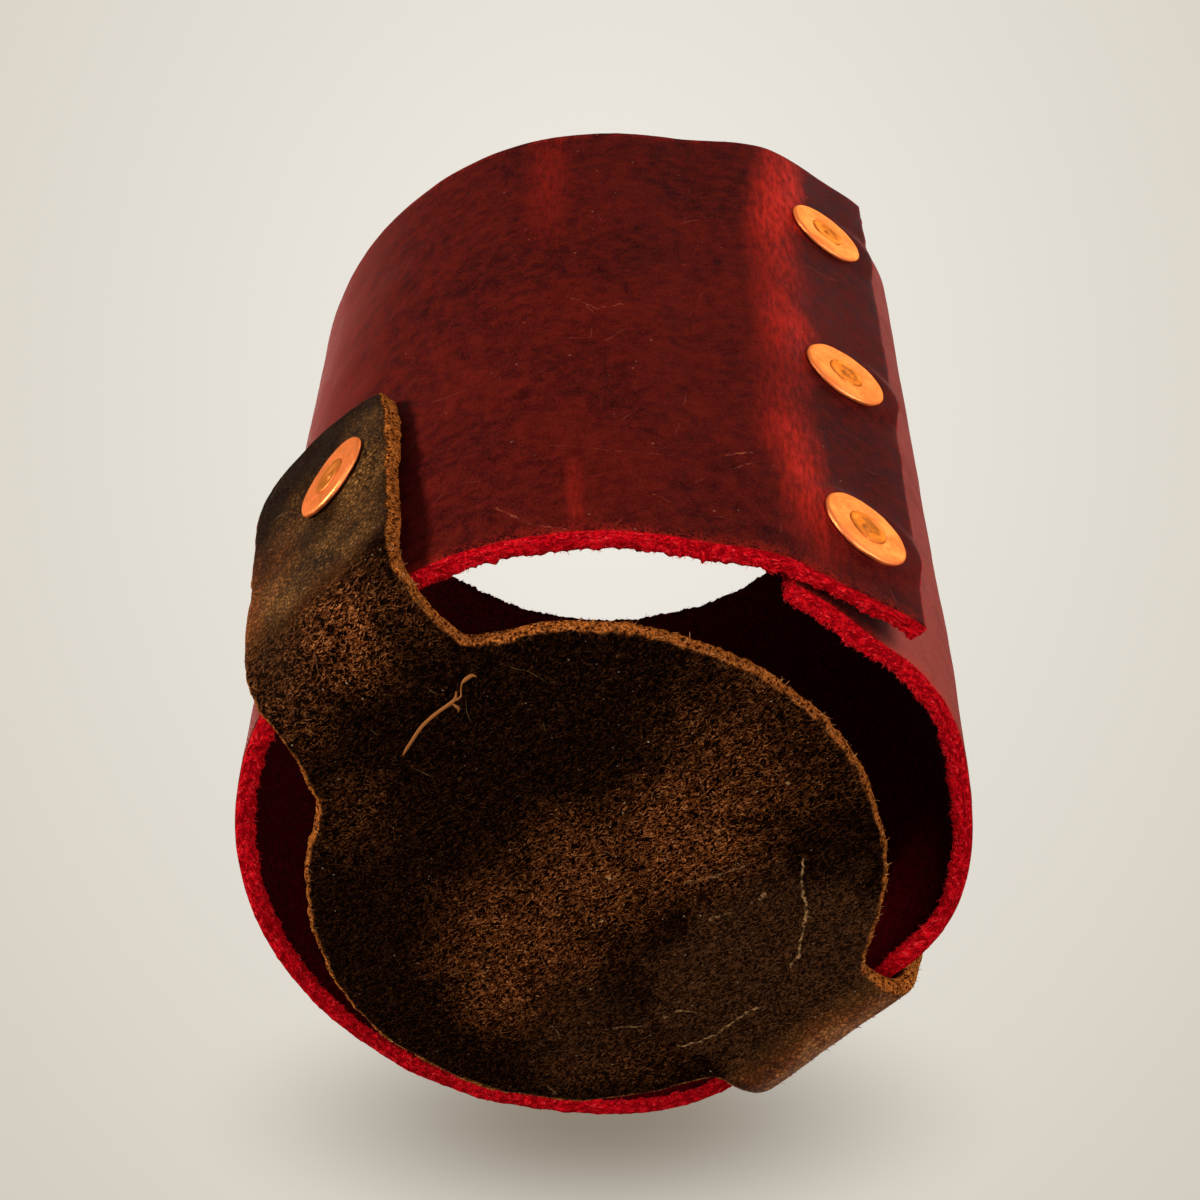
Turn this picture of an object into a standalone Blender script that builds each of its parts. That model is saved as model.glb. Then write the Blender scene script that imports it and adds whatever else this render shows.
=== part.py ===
"""Leather can cooler: a riveted leather sleeve with a leather strap across its bottom.

Metres, +Z up. The cooler stands upright. Its origin is on the sleeve's axis, at the
underside of the base. The riveted lap of the sleeve faces -Y, and the two tabs of the
base strap rise at -X and +X. Azimuths turn from +X towards +Y.
"""

import math
from collections import namedtuple

import bmesh
import bpy
from mathutils import Matrix, Vector

# Sleeve: one strip of leather, wrapped round and lapped
SLEEVE_THICKNESS = 0.0019
SLEEVE_OUTER_RADIUS = 0.0362
SLEEVE_HEIGHT = 0.0921
SLEEVE_BOTTOM = 0.0050          # the bottom edge stands this far above the underside of the base
LAP_AZIMUTH = math.radians(-95.5)
LAP_INNER_REACH = math.radians(10.0)    # from the rivet line back to the covered end
LAP_OUTER_REACH = math.radians(9.4)     # from the rivet line on to the free end
LAP_INSET = 0.00043             # the covered layer lies this far inside the round wall
LAP_TUCK = 0.00063              # and its bottom edge this much further
OUTER_TUCK = 0.00035            # the outer layer follows it by this much
LAP_STEP_START = math.radians(2.5)      # the covered wall is round again in this turn
LAP_STEP_END = math.radians(15.5)
LAP_RISE = math.radians(18.0)   # the outer layer climbs over the covered end in this turn
FREE_END_LIFT = 0.00055         # the free end springs off, at the bottom edge
FREE_END_TOP_LIFT = 0.00085     # and at the top edge
FREE_END_LIFT_START = math.radians(-2.0)
SHOULDER_HEIGHT = 0.0010        # the single wall swells out beside the stiff lap
SHOULDER_BOTTOM_SHARE = 0.45    # less so at the bottom edge
SHOULDER_AZIMUTH = LAP_AZIMUTH + math.radians(23.0)
SHOULDER_WAVE = math.radians(50.0)
SHOULDER_FADE = math.radians(18.0)
LAP_FLARE = 0.0019              # the lap leans out towards the top by this much
LAP_FLARE_SPREAD = math.radians(28.0)
LAP_FLARE_COVERED_SPREAD = math.radians(20.0)   # on the covered end's side
LEFT_SQUEEZE = 0.0005           # the taut strap flattens the bottom edge by this much at the left
RIGHT_SQUEEZE = 0.0036          # and at the right
SQUEEZE_TOP = 0.0150            # the wall is round again at this height
SQUEEZE_SOFTNESS = 0.8          # how softly the flat runs into the round, as a share of its depth

# Base strap: one flat blank, a disc with two tabs, bent up outside the sleeve
STRAP_THICKNESS = 0.0020
DISC_RADIUS = 0.0287
DISC_SHIFT = 0.0012             # the disc is cut this far to the back of the strap's middle
DISC_FRONT_SKEW = 0.00095       # its front half sits this far to the left
DISC_BACK_SKEW = 0.00045        # its back half this far to the right
DISC_BACK_LENGTH = 0.02735      # and the back half is cut by hand, shorter along the strap
DISC_BACK_DEPTH = 0.02925       # and deeper across it
STRAP_HALF_WIDTH = 0.0101
STRAP_SPREAD = 0.0028           # the strap's back edge widens by this much left of the disc
STRAP_SPREAD_X = -0.0243
STRAP_SPREAD_REACH = 0.0052
STRAP_CORNER = 0.0030           # width over which the disc's edge runs into the strap's edge
LEFT_BEND_RADIUS = 0.0060       # of the middle of the leather
RIGHT_BEND_RADIUS = 0.0085
SETTLE_HEIGHT = 0.0145          # the tabs are upright from this height
TAB_TIP = 0.0435                # height of the tabs' ends
TAB_END_RADIUS = 0.0140         # the tabs' ends are rounded
TAB_CORNER = 0.0030             # width over which a tab's end runs into its edge
LEFT_TAB_LEAN = 0.0044          # the left tab's tip leans back by this much
RIGHT_TAB_LEAN = 0.0
LEAN_START = 0.0060             # it leans from this height on

# Copper rivets: a flat head inside, a shank, a loose washer called a burr, a peened end
SHANK_RADIUS = 0.0019
HEAD_RADIUS = 0.0047
HEAD_THICKNESS = 0.0008
HEAD_SINK = 0.0006              # the head's seat is pressed this deep into the leather
BURR_RADIUS = 0.0048
BURR_THICKNESS = 0.0008
BURR_SINK = 0.0003              # the burr's seat is pressed this deep into the leather
PEEN_RADIUS = 0.0022
PEEN_HEIGHT = 0.0003
PEEN_DIMPLE = 0.0001
EDGE_BREAK = 0.0002             # the copper edges are broken by this much
CLEARANCE = 0.0003              # between pieces that touch
LOW_RIVET_RISE = 0.0110         # the lowest seam rivet above the sleeve's bottom edge
HIGH_RIVET_DROP = 0.0163        # the highest one below its top edge
MID_RIVET_DROP = 0.0018         # the middle one below halfway between them
TAB_RIVET_HEIGHT = 0.0288

# Facets
SLEEVE_STEPS = 108
DISC_STEPS = 26
BEND_STEPS = 8
TIP_STEPS = 12
ROUND_STEPS = 28

SLEEVE_MID_RADIUS = SLEEVE_OUTER_RADIUS - SLEEVE_THICKNESS / 2
SLEEVE_TOP = SLEEVE_BOTTOM + SLEEVE_HEIGHT
LOW_RIVET_HEIGHT = SLEEVE_BOTTOM + LOW_RIVET_RISE
HIGH_RIVET_HEIGHT = SLEEVE_TOP - HIGH_RIVET_DROP
MID_RIVET_HEIGHT = (LOW_RIVET_HEIGHT + HIGH_RIVET_HEIGHT) / 2 - MID_RIVET_DROP
STRAP_INNER_X = SLEEVE_OUTER_RADIUS + CLEARANCE
STRAP_MID_X = STRAP_INNER_X + STRAP_THICKNESS / 2

RivetSite = namedtuple("RivetSite", "name azimuth height leather_in leather_out")


def smooth_step(value):
    """Ease from 0 to 1 while value goes from 0 to 1."""
    value = min(max(value, 0.0), 1.0)
    return value * value * (3.0 - 2.0 * value)


def smooth_max(a, b, width):
    """The larger of two lengths, rounded off where they come within width."""
    near = max(width - abs(a - b), 0.0) / width
    return max(a, b) + near * near * width / 4.0


def smooth_min(a, b, width):
    """The smaller of two lengths, rounded off where they come within width."""
    return -smooth_max(-a, -b, width)


def bottom_share(height):
    """1 at the sleeve's bottom edge, falling to 0 at the height where its wall is round again."""
    share = (SQUEEZE_TOP - height) / (SQUEEZE_TOP - SLEEVE_BOTTOM)
    return min(max(share, 0.0), 1.0)


def squeeze_at(azimuth, height):
    """How much the strap flattens the wall on this side of the sleeve, at a height."""
    squeeze = RIGHT_SQUEEZE if math.cos(azimuth) > 0.0 else LEFT_SQUEEZE
    return squeeze * bottom_share(height)


def covered_layer_offset(turn, low, tuck):
    """How far the single or covered wall lies off the round wall.

    turn is measured from the rivets. low is 1 at the bottom edge and 0 above it. tuck is
    how far the wall is drawn in at the bottom edge, inside the lap.
    """
    swell = turn + LAP_AZIMUTH - SHOULDER_AZIMUTH
    wave = math.cos(2.0 * math.pi * swell / SHOULDER_WAVE)
    height = SHOULDER_HEIGHT * (1.0 - (1.0 - SHOULDER_BOTTOM_SHARE) * low)
    step = (turn - LAP_STEP_START) / (LAP_STEP_END - LAP_STEP_START)
    inset = (LAP_INSET + tuck * low) * (1.0 - smooth_step(step))
    return height * wave * math.exp(-((swell / SHOULDER_FADE) ** 2)) - inset


def outer_layer_offset(turn, rise, low):
    """How far the lapped outer wall lies off the round wall. rise is 0 at the bottom, 1 at the top."""
    tuck = OUTER_TUCK * (1.0 - smooth_step(1.0 + turn / LAP_INNER_REACH))
    under = covered_layer_offset(max(turn, -LAP_INNER_REACH), low, tuck)
    climb = smooth_step((turn + LAP_INNER_REACH + LAP_RISE) / LAP_RISE)
    lift = FREE_END_LIFT + (FREE_END_TOP_LIFT - FREE_END_LIFT) * rise
    spring = (turn - FREE_END_LIFT_START) / (LAP_OUTER_REACH - FREE_END_LIFT_START)
    return climb * (under + SLEEVE_THICKNESS + CLEARANCE) + lift * smooth_step(spring)


def sleeve_mid_radius(azimuth, height):
    """Radius at the middle of the leather. azimuth runs on past a full turn at the free end."""
    rise = (height - SLEEVE_BOTTOM) / SLEEVE_HEIGHT
    low = bottom_share(height)
    turn = azimuth - LAP_AZIMUTH
    if turn < math.pi:
        offset = covered_layer_offset(turn, low, LAP_TUCK)
    else:
        turn -= 2.0 * math.pi
        offset = outer_layer_offset(turn, rise, low)
    spread = LAP_FLARE_SPREAD if turn > 0.0 else LAP_FLARE_COVERED_SPREAD
    flare = LAP_FLARE * rise * math.exp(-((turn / spread) ** 2))
    radius = SLEEVE_MID_RADIUS + offset + flare
    squeeze = squeeze_at(azimuth, height)
    if squeeze > 0.0:
        flat = (SLEEVE_MID_RADIUS - squeeze) / max(abs(math.cos(azimuth)), 0.5)
        radius = smooth_min(radius, flat, SQUEEZE_SOFTNESS * squeeze)
    return radius


def polar(radius, azimuth, height):
    """A point at a radius and azimuth round the sleeve's axis."""
    return Vector((radius * math.cos(azimuth), radius * math.sin(azimuth), height))


def wall_point(azimuth, height, layer):
    """A point of the sleeve's wall. layer is -0.5 at its inner face and 0.5 at its outer face."""
    radius = sleeve_mid_radius(azimuth, height) + layer * SLEEVE_THICKNESS
    return polar(radius, azimuth, height)


def new_material(name, colour, roughness, metallic):
    """A Principled material of one colour."""
    material = bpy.data.materials.new(name)
    material.use_nodes = True
    shader = material.node_tree.nodes["Principled BSDF"]
    shader.inputs["Base Color"].default_value = (*colour, 1.0)
    shader.inputs["Roughness"].default_value = roughness
    shader.inputs["Metallic"].default_value = metallic
    return material


def add_object(name, bm, material, parent=None):
    """Turn a bmesh into an object with closed, outward faces, shaded smooth up to 30 degrees."""
    bmesh.ops.remove_doubles(bm, verts=bm.verts, dist=1e-7)
    bmesh.ops.recalc_face_normals(bm, faces=bm.faces)
    mesh = bpy.data.meshes.new(name)
    bm.to_mesh(mesh)
    bm.free()
    mesh.shade_smooth()
    mesh.set_sharp_from_angle(angle=math.radians(30.0))
    thing = bpy.data.objects.new(name, mesh)
    if material is not None:
        mesh.materials.append(material)
    bpy.context.scene.collection.objects.link(thing)
    thing.parent = parent
    return thing


def bridge_rings(bm, rings):
    """Join a run of rings with equal numbers of corners into one closed bar."""
    for ring, following in zip(rings, rings[1:]):
        for corner in range(len(ring)):
            after = (corner + 1) % len(ring)
            bm.faces.new((ring[corner], ring[after], following[after], following[corner]))
    bm.faces.new(rings[0])
    bm.faces.new(rings[-1])


def make_sleeve(material):
    """The sleeve: a strip whose section spirals from its covered end to its free end."""
    start = LAP_AZIMUTH - LAP_INNER_REACH
    sweep = 2.0 * math.pi + LAP_INNER_REACH + LAP_OUTER_REACH
    levels = (SLEEVE_BOTTOM, SQUEEZE_TOP, SLEEVE_TOP)
    bm = bmesh.new()
    rings = []
    for step in range(SLEEVE_STEPS + 1):
        azimuth = start + sweep * step / SLEEVE_STEPS
        outside = [wall_point(azimuth, height, 0.5) for height in levels]
        inside = [wall_point(azimuth, height, -0.5) for height in reversed(levels)]
        rings.append([bm.verts.new(corner) for corner in outside + inside])
    bridge_rings(bm, rings)
    return add_object("sleeve", bm, material)


def strap_edges(along):
    """Front and back edge of the flat blank, at a distance along it. Negative is to the left."""
    front_chord = math.sqrt(max(DISC_RADIUS**2 - (along + DISC_FRONT_SKEW) ** 2, 0.0))
    share = (along - DISC_BACK_SKEW) / DISC_BACK_LENGTH
    back_chord = DISC_BACK_DEPTH * math.sqrt(max(1.0 - share**2, 0.0))
    beside = (along - STRAP_SPREAD_X) / STRAP_SPREAD_REACH
    back_half = STRAP_HALF_WIDTH + STRAP_SPREAD * math.exp(-(beside**2))
    front = -smooth_max(front_chord - DISC_SHIFT, STRAP_HALF_WIDTH, STRAP_CORNER)
    back = smooth_max(back_chord + DISC_SHIFT, back_half, STRAP_CORNER)
    return front, back


def bend_start(squeeze, radius):
    """X where the flat base ends, so that the bend clears the sleeve's bottom edge."""
    inner_radius = radius - STRAP_THICKNESS / 2.0
    drop = max(radius + STRAP_THICKNESS / 2.0 - SLEEVE_BOTTOM, 0.0)
    reach = math.sqrt(max(inner_radius**2 - drop**2, 0.0))
    return SLEEVE_OUTER_RADIUS - squeeze + CLEARANCE - reach


def strap_stations(squeeze, radius):
    """Points along half of the blank: middle of the leather in X and Z, and slope there.

    The middle runs flat, round the bend of this radius, up a straight line to where the tab
    is upright against the sleeve, and on up to its tip.
    """
    flat_end = bend_start(squeeze, radius)
    centre_z = radius + STRAP_THICKNESS / 2.0
    to_upright = Vector((STRAP_MID_X - flat_end, SETTLE_HEIGHT - centre_z))
    bend_turn = to_upright.angle_signed(Vector((1.0, 0.0)), 0.0)
    bend_turn += math.pi / 2.0 - math.acos(min(radius / to_upright.length, 1.0))
    stations = []
    for step in range(DISC_STEPS):
        x = flat_end * math.sin(math.pi / 2.0 * step / DISC_STEPS)
        stations.append((x, STRAP_THICKNESS / 2.0, 0.0))
    for step in range(BEND_STEPS + 1):
        turn = bend_turn * step / BEND_STEPS
        x = flat_end + radius * math.sin(turn)
        stations.append((x, centre_z - radius * math.cos(turn), turn))
    widest = math.asin(min((STRAP_HALF_WIDTH + TAB_CORNER) / TAB_END_RADIUS, 1.0))
    straight_top = TAB_TIP - TAB_END_RADIUS * (1.0 - math.cos(widest))
    heights = [SETTLE_HEIGHT, (SETTLE_HEIGHT + straight_top) / 2.0]
    for step in range(TIP_STEPS + 1):
        angle = widest * (1.0 - step / TIP_STEPS)
        heights.append(TAB_TIP - TAB_END_RADIUS * (1.0 - math.cos(angle)))
    stations += [(STRAP_MID_X, height, math.pi / 2.0) for height in heights]
    return stations


def strap_ring(bm, station, side, lean):
    """The four corners of one cross-section of the bent strap."""
    x, z, slope = station
    front, back = strap_edges(side * x)
    below_tip = TAB_TIP - z
    if below_tip < TAB_END_RADIUS:
        half = math.sqrt(max(TAB_END_RADIUS**2 - (TAB_END_RADIUS - below_tip) ** 2, 0.0))
        half = max(smooth_min(half, STRAP_HALF_WIDTH, TAB_CORNER), 0.0)
        front = max(front, -half)
        back = min(back, half)
    shift = lean * max(z - LEAN_START, 0.0) / (TAB_TIP - LEAN_START)
    outward = Vector((side * math.sin(slope), 0.0, -math.cos(slope))) * (STRAP_THICKNESS / 2.0)
    ring = []
    for y, face in ((front, 1.0), (back, 1.0), (back, -1.0), (front, -1.0)):
        ring.append(bm.verts.new(Vector((side * x, y + shift, z)) + face * outward))
    return ring


def make_base_strap(material):
    """The base strap: the disc under the can and the tabs that rise outside the sleeve."""
    left = strap_stations(LEFT_SQUEEZE, LEFT_BEND_RADIUS)
    right = strap_stations(RIGHT_SQUEEZE, RIGHT_BEND_RADIUS)
    bm = bmesh.new()
    rings = [strap_ring(bm, station, -1.0, LEFT_TAB_LEAN) for station in reversed(left)]
    rings += [strap_ring(bm, station, 1.0, RIGHT_TAB_LEAN) for station in right[1:]]
    bridge_rings(bm, rings)
    return add_object("base_strap", bm, material)


def turned(name, profile, material, parent, closed=False):
    """Revolve a profile of (radius, height) points about the local Z axis."""
    bm = bmesh.new()
    verts = [bm.verts.new((radius, 0.0, height)) for radius, height in profile]
    pairs = list(zip(verts, verts[1:]))
    if closed:
        pairs.append((verts[-1], verts[0]))
    edges = [bm.edges.new(pair) for pair in pairs]
    bmesh.ops.spin(
        bm, geom=verts + edges, cent=(0.0, 0.0, 0.0), axis=(0.0, 0.0, 1.0),
        angle=2.0 * math.pi, steps=ROUND_STEPS, use_merge=True,
    )
    return add_object(name, bm, material, parent)


def seam_site(name, height):
    """Where a seam rivet goes through the two layers of the lap."""
    half = SLEEVE_THICKNESS / 2.0
    inner = sleeve_mid_radius(LAP_AZIMUTH, height) - half
    outer = sleeve_mid_radius(LAP_AZIMUTH + 2.0 * math.pi, height) + half
    return RivetSite(f"seam_{name}", LAP_AZIMUTH, height, inner, outer)


def tab_site(name, azimuth):
    """Where a tab rivet goes through the sleeve and the strap."""
    inner = SLEEVE_OUTER_RADIUS - SLEEVE_THICKNESS
    outer = STRAP_INNER_X + STRAP_THICKNESS
    return RivetSite(f"tab_{name}", azimuth, TAB_RIVET_HEIGHT, inner, outer)


def site_empty(site):
    """An empty on the cooler's axis whose local Z points out through the rivet."""
    guide = bpy.data.objects.new(f"site_{site.name}", None)
    bpy.context.scene.collection.objects.link(guide)
    outward = polar(1.0, site.azimuth, 0.0)
    sideways = Vector((0.0, 0.0, 1.0)).cross(outward)
    turn = Matrix((sideways, outward.cross(sideways), outward)).transposed()
    guide.matrix_world = Matrix.Translation((0.0, 0.0, site.height)) @ turn.to_4x4()
    return guide


def make_rivet(site, parent, material):
    """The rivet and its burr, clamped on both sides of the leather."""
    kind, place = site.name.split("_")
    head_back = site.leather_in + HEAD_SINK - CLEARANCE
    head_front = head_back - HEAD_THICKNESS
    burr_base = site.leather_out - BURR_SINK + CLEARANCE
    burr_top = burr_base + BURR_THICKNESS
    peen_base = burr_top + CLEARANCE
    peen_top = peen_base + PEEN_HEIGHT
    rivet_profile = (
        (0.0, head_front),
        (HEAD_RADIUS - EDGE_BREAK, head_front),
        (HEAD_RADIUS, head_front + EDGE_BREAK),
        (HEAD_RADIUS, head_back),
        (SHANK_RADIUS, head_back),
        (SHANK_RADIUS, peen_base),
        (PEEN_RADIUS, peen_base),
        (PEEN_RADIUS, peen_top - EDGE_BREAK),
        (PEEN_RADIUS - EDGE_BREAK, peen_top),
        (PEEN_RADIUS / 2.0, peen_top),
        (0.0, peen_top - PEEN_DIMPLE),
    )
    burr_bore = SHANK_RADIUS + CLEARANCE
    burr_profile = (
        (burr_bore, burr_base),
        (BURR_RADIUS, burr_base),
        (BURR_RADIUS, burr_top - EDGE_BREAK),
        (BURR_RADIUS - EDGE_BREAK, burr_top),
        (burr_bore, burr_top),
    )
    turned(f"{kind}_rivet_{place}", rivet_profile, material, parent)
    turned(f"{kind}_burr_{place}", burr_profile, material, parent, closed=True)


def make_rivet_space(site, parent):
    """The hole for a shank and the pressed seats for its head and burr, as a cutter."""
    head_seat = HEAD_RADIUS + CLEARANCE
    burr_seat = BURR_RADIUS + CLEARANCE
    hole = SHANK_RADIUS + CLEARANCE
    head_floor = site.leather_in + HEAD_SINK
    burr_floor = site.leather_out - BURR_SINK
    profile = (
        (0.0, site.leather_in - HEAD_RADIUS),
        (head_seat, site.leather_in - HEAD_RADIUS),
        (head_seat, head_floor),
        (hole, head_floor),
        (hole, burr_floor),
        (burr_seat, burr_floor),
        (burr_seat, site.leather_out + BURR_RADIUS),
        (0.0, site.leather_out + BURR_RADIUS),
    )
    cutter = turned(f"space_{site.name}", profile, None, parent)
    cutter.hide_render = True
    cutter.display_type = "WIRE"
    return cutter


def cut(thing, cutter):
    """Take the cutter's volume out of a piece."""
    modifier = thing.modifiers.new(cutter.name, "BOOLEAN")
    modifier.operation = "DIFFERENCE"
    modifier.object = cutter


def main():
    """Clear the scene and build every piece."""
    for thing in list(bpy.data.objects):
        bpy.data.objects.remove(thing)

    red_leather = new_material("red_leather", (0.085, 0.008, 0.007), 0.48, 0.0)
    brown_leather = new_material("brown_leather", (0.035, 0.016, 0.007), 0.75, 0.0)
    copper = new_material("copper", (0.93, 0.42, 0.20), 0.32, 1.0)

    sleeve = make_sleeve(red_leather)
    base_strap = make_base_strap(brown_leather)

    seam_sites = (
        seam_site("low", LOW_RIVET_HEIGHT),
        seam_site("mid", MID_RIVET_HEIGHT),
        seam_site("high", HIGH_RIVET_HEIGHT),
    )
    tab_sites = (tab_site("left", math.pi), tab_site("right", 0.0))
    for site in seam_sites + tab_sites:
        guide = site_empty(site)
        cutter = make_rivet_space(site, guide)
        cut(sleeve, cutter)
        if site in tab_sites:
            cut(base_strap, cutter)
        make_rivet(site, guide, copper)


main()
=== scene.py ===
"""The looks of a leather can cooler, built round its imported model.

Metres, +Z up. The red sleeve is a flat strip that is refined, given its relief and rolled up.
The brown base strap is a flat blank that is refined, given its relief and bent. The copper rivets
and burrs are turned and hammered. Loose fibres grow on the cut edges and on the strap's nap.
"""

import itertools
import logging
import math
from collections.abc import Mapping, Sequence
from dataclasses import dataclass
from enum import Enum
from typing import Any

import bmesh
import bpy
import numpy as np
from bpy.types import Material, Mesh, Node, NodeSocket, NodeTree, Object
from mathutils import Matrix, Vector
from mathutils.kdtree import KDTree


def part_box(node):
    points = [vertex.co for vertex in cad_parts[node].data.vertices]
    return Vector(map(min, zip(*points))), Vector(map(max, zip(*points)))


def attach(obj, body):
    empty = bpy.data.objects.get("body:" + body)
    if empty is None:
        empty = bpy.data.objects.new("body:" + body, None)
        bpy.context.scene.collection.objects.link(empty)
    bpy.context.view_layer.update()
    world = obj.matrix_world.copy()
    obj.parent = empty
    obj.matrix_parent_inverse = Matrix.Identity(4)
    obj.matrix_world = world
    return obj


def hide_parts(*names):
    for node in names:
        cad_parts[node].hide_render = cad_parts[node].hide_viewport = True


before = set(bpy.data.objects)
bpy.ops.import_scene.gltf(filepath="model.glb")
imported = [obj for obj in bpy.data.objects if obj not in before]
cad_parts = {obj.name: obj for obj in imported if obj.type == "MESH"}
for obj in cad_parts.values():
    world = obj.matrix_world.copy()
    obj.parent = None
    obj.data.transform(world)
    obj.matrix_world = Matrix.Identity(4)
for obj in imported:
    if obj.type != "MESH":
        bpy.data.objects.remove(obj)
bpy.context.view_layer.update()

MM = 0.001
TOUCHING = 1e-6
BLACK = (0.0, 0.0, 0.0, 1.0)
ROOT = "root"
LOG = logging.getLogger("can_cooler")

Array = np.ndarray
Ring = list[bmesh.types.BMVert]
Points = tuple[tuple[float, float], ...]
Strand = tuple[tuple[float, float, float, float], ...]
Colour = tuple[float, float, float, float]


class Slot(Enum):
    """Material slots for the pieces' finishes."""

    RED_LEATHER = "red_leather"
    BROWN_LEATHER = "brown_leather"
    COPPER = "copper"


class Mask(Enum):
    """Attributes that the leather meshes carry for their materials and their fibres."""

    BLANK = "blank"
    RAW = "raw"
    FLESH = "flesh"
    NAP = "nap"
    FUZZ = "fuzz"
    SHADE = "shade"
    WALL = "wall_radius"


def srgb(red: int, green: int, blue: int) -> Colour:
    """Turn a screen colour into a linear one.

    Args:
        red: Red from 0 to 255.
        green: Green from 0 to 255.
        blue: Blue from 0 to 255.

    Returns:
        Linear red, green, blue and an alpha of 1.
    """
    linear = []
    for channel in (red, green, blue):
        share = channel / 255.0
        linear.append(share / 12.92 if share <= 0.04045 else ((share + 0.055) / 1.055) ** 2.4)
    return (linear[0], linear[1], linear[2], 1.0)


def smooth_step(value: Array | float) -> Array | float:
    """Ease from 0 to 1 while value goes from 0 to 1."""
    held = np.clip(value, 0.0, 1.0)
    return held * held * (3.0 - 2.0 * held)


def smooth_max(a: Array, b: Array | float, width: float) -> Array:
    """The larger of two lengths, rounded off where they come within width."""
    near = np.maximum(width - np.abs(a - b), 0.0) / width
    return np.maximum(a, b) + near * near * width / 4.0


def lattice_noise(points: Array, size: float, seed: int) -> Array:
    """Smooth noise with features about size across.

    Args:
        points: Points, one to a row.
        size: Size of the features, in the points' unit.
        seed: Chooses one of many patterns.

    Returns:
        A value from -1 to 1 for each point.
    """
    scaled = points / size
    base = np.floor(scaled).astype(np.int64)
    part = scaled - base
    ease = part * part * part * (part * (part * 6.0 - 15.0) + 10.0)
    total = np.zeros(len(points))
    for corner in itertools.product((0, 1), repeat=3):
        cell = base + np.array(corner)
        mixed = cell[:, 0] * 73856093 ^ cell[:, 1] * 19349663 ^ cell[:, 2] * 83492791
        mixed = mixed ^ (seed * 668265263)
        mixed = ((mixed ^ (mixed >> 13)) * 1274126177) & 0x7FFFFFFF
        mixed = ((mixed ^ (mixed >> 15)) * 1103515245) & 0x7FFFFFFF
        weight = np.prod(np.where(corner, ease, 1.0 - ease), axis=1)
        total += weight * (mixed / 0x3FFFFFFF - 1.0)
    return total


def fractal_noise(points: Array, size: float, seed: int, octaves: int = 3) -> Array:
    """Several octaves of lattice noise, each half the size and strength of the last."""
    total = np.zeros(len(points))
    for octave in range(octaves):
        total += lattice_noise(points, size / 2**octave, seed + octave) / 2**octave
    return total


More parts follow.
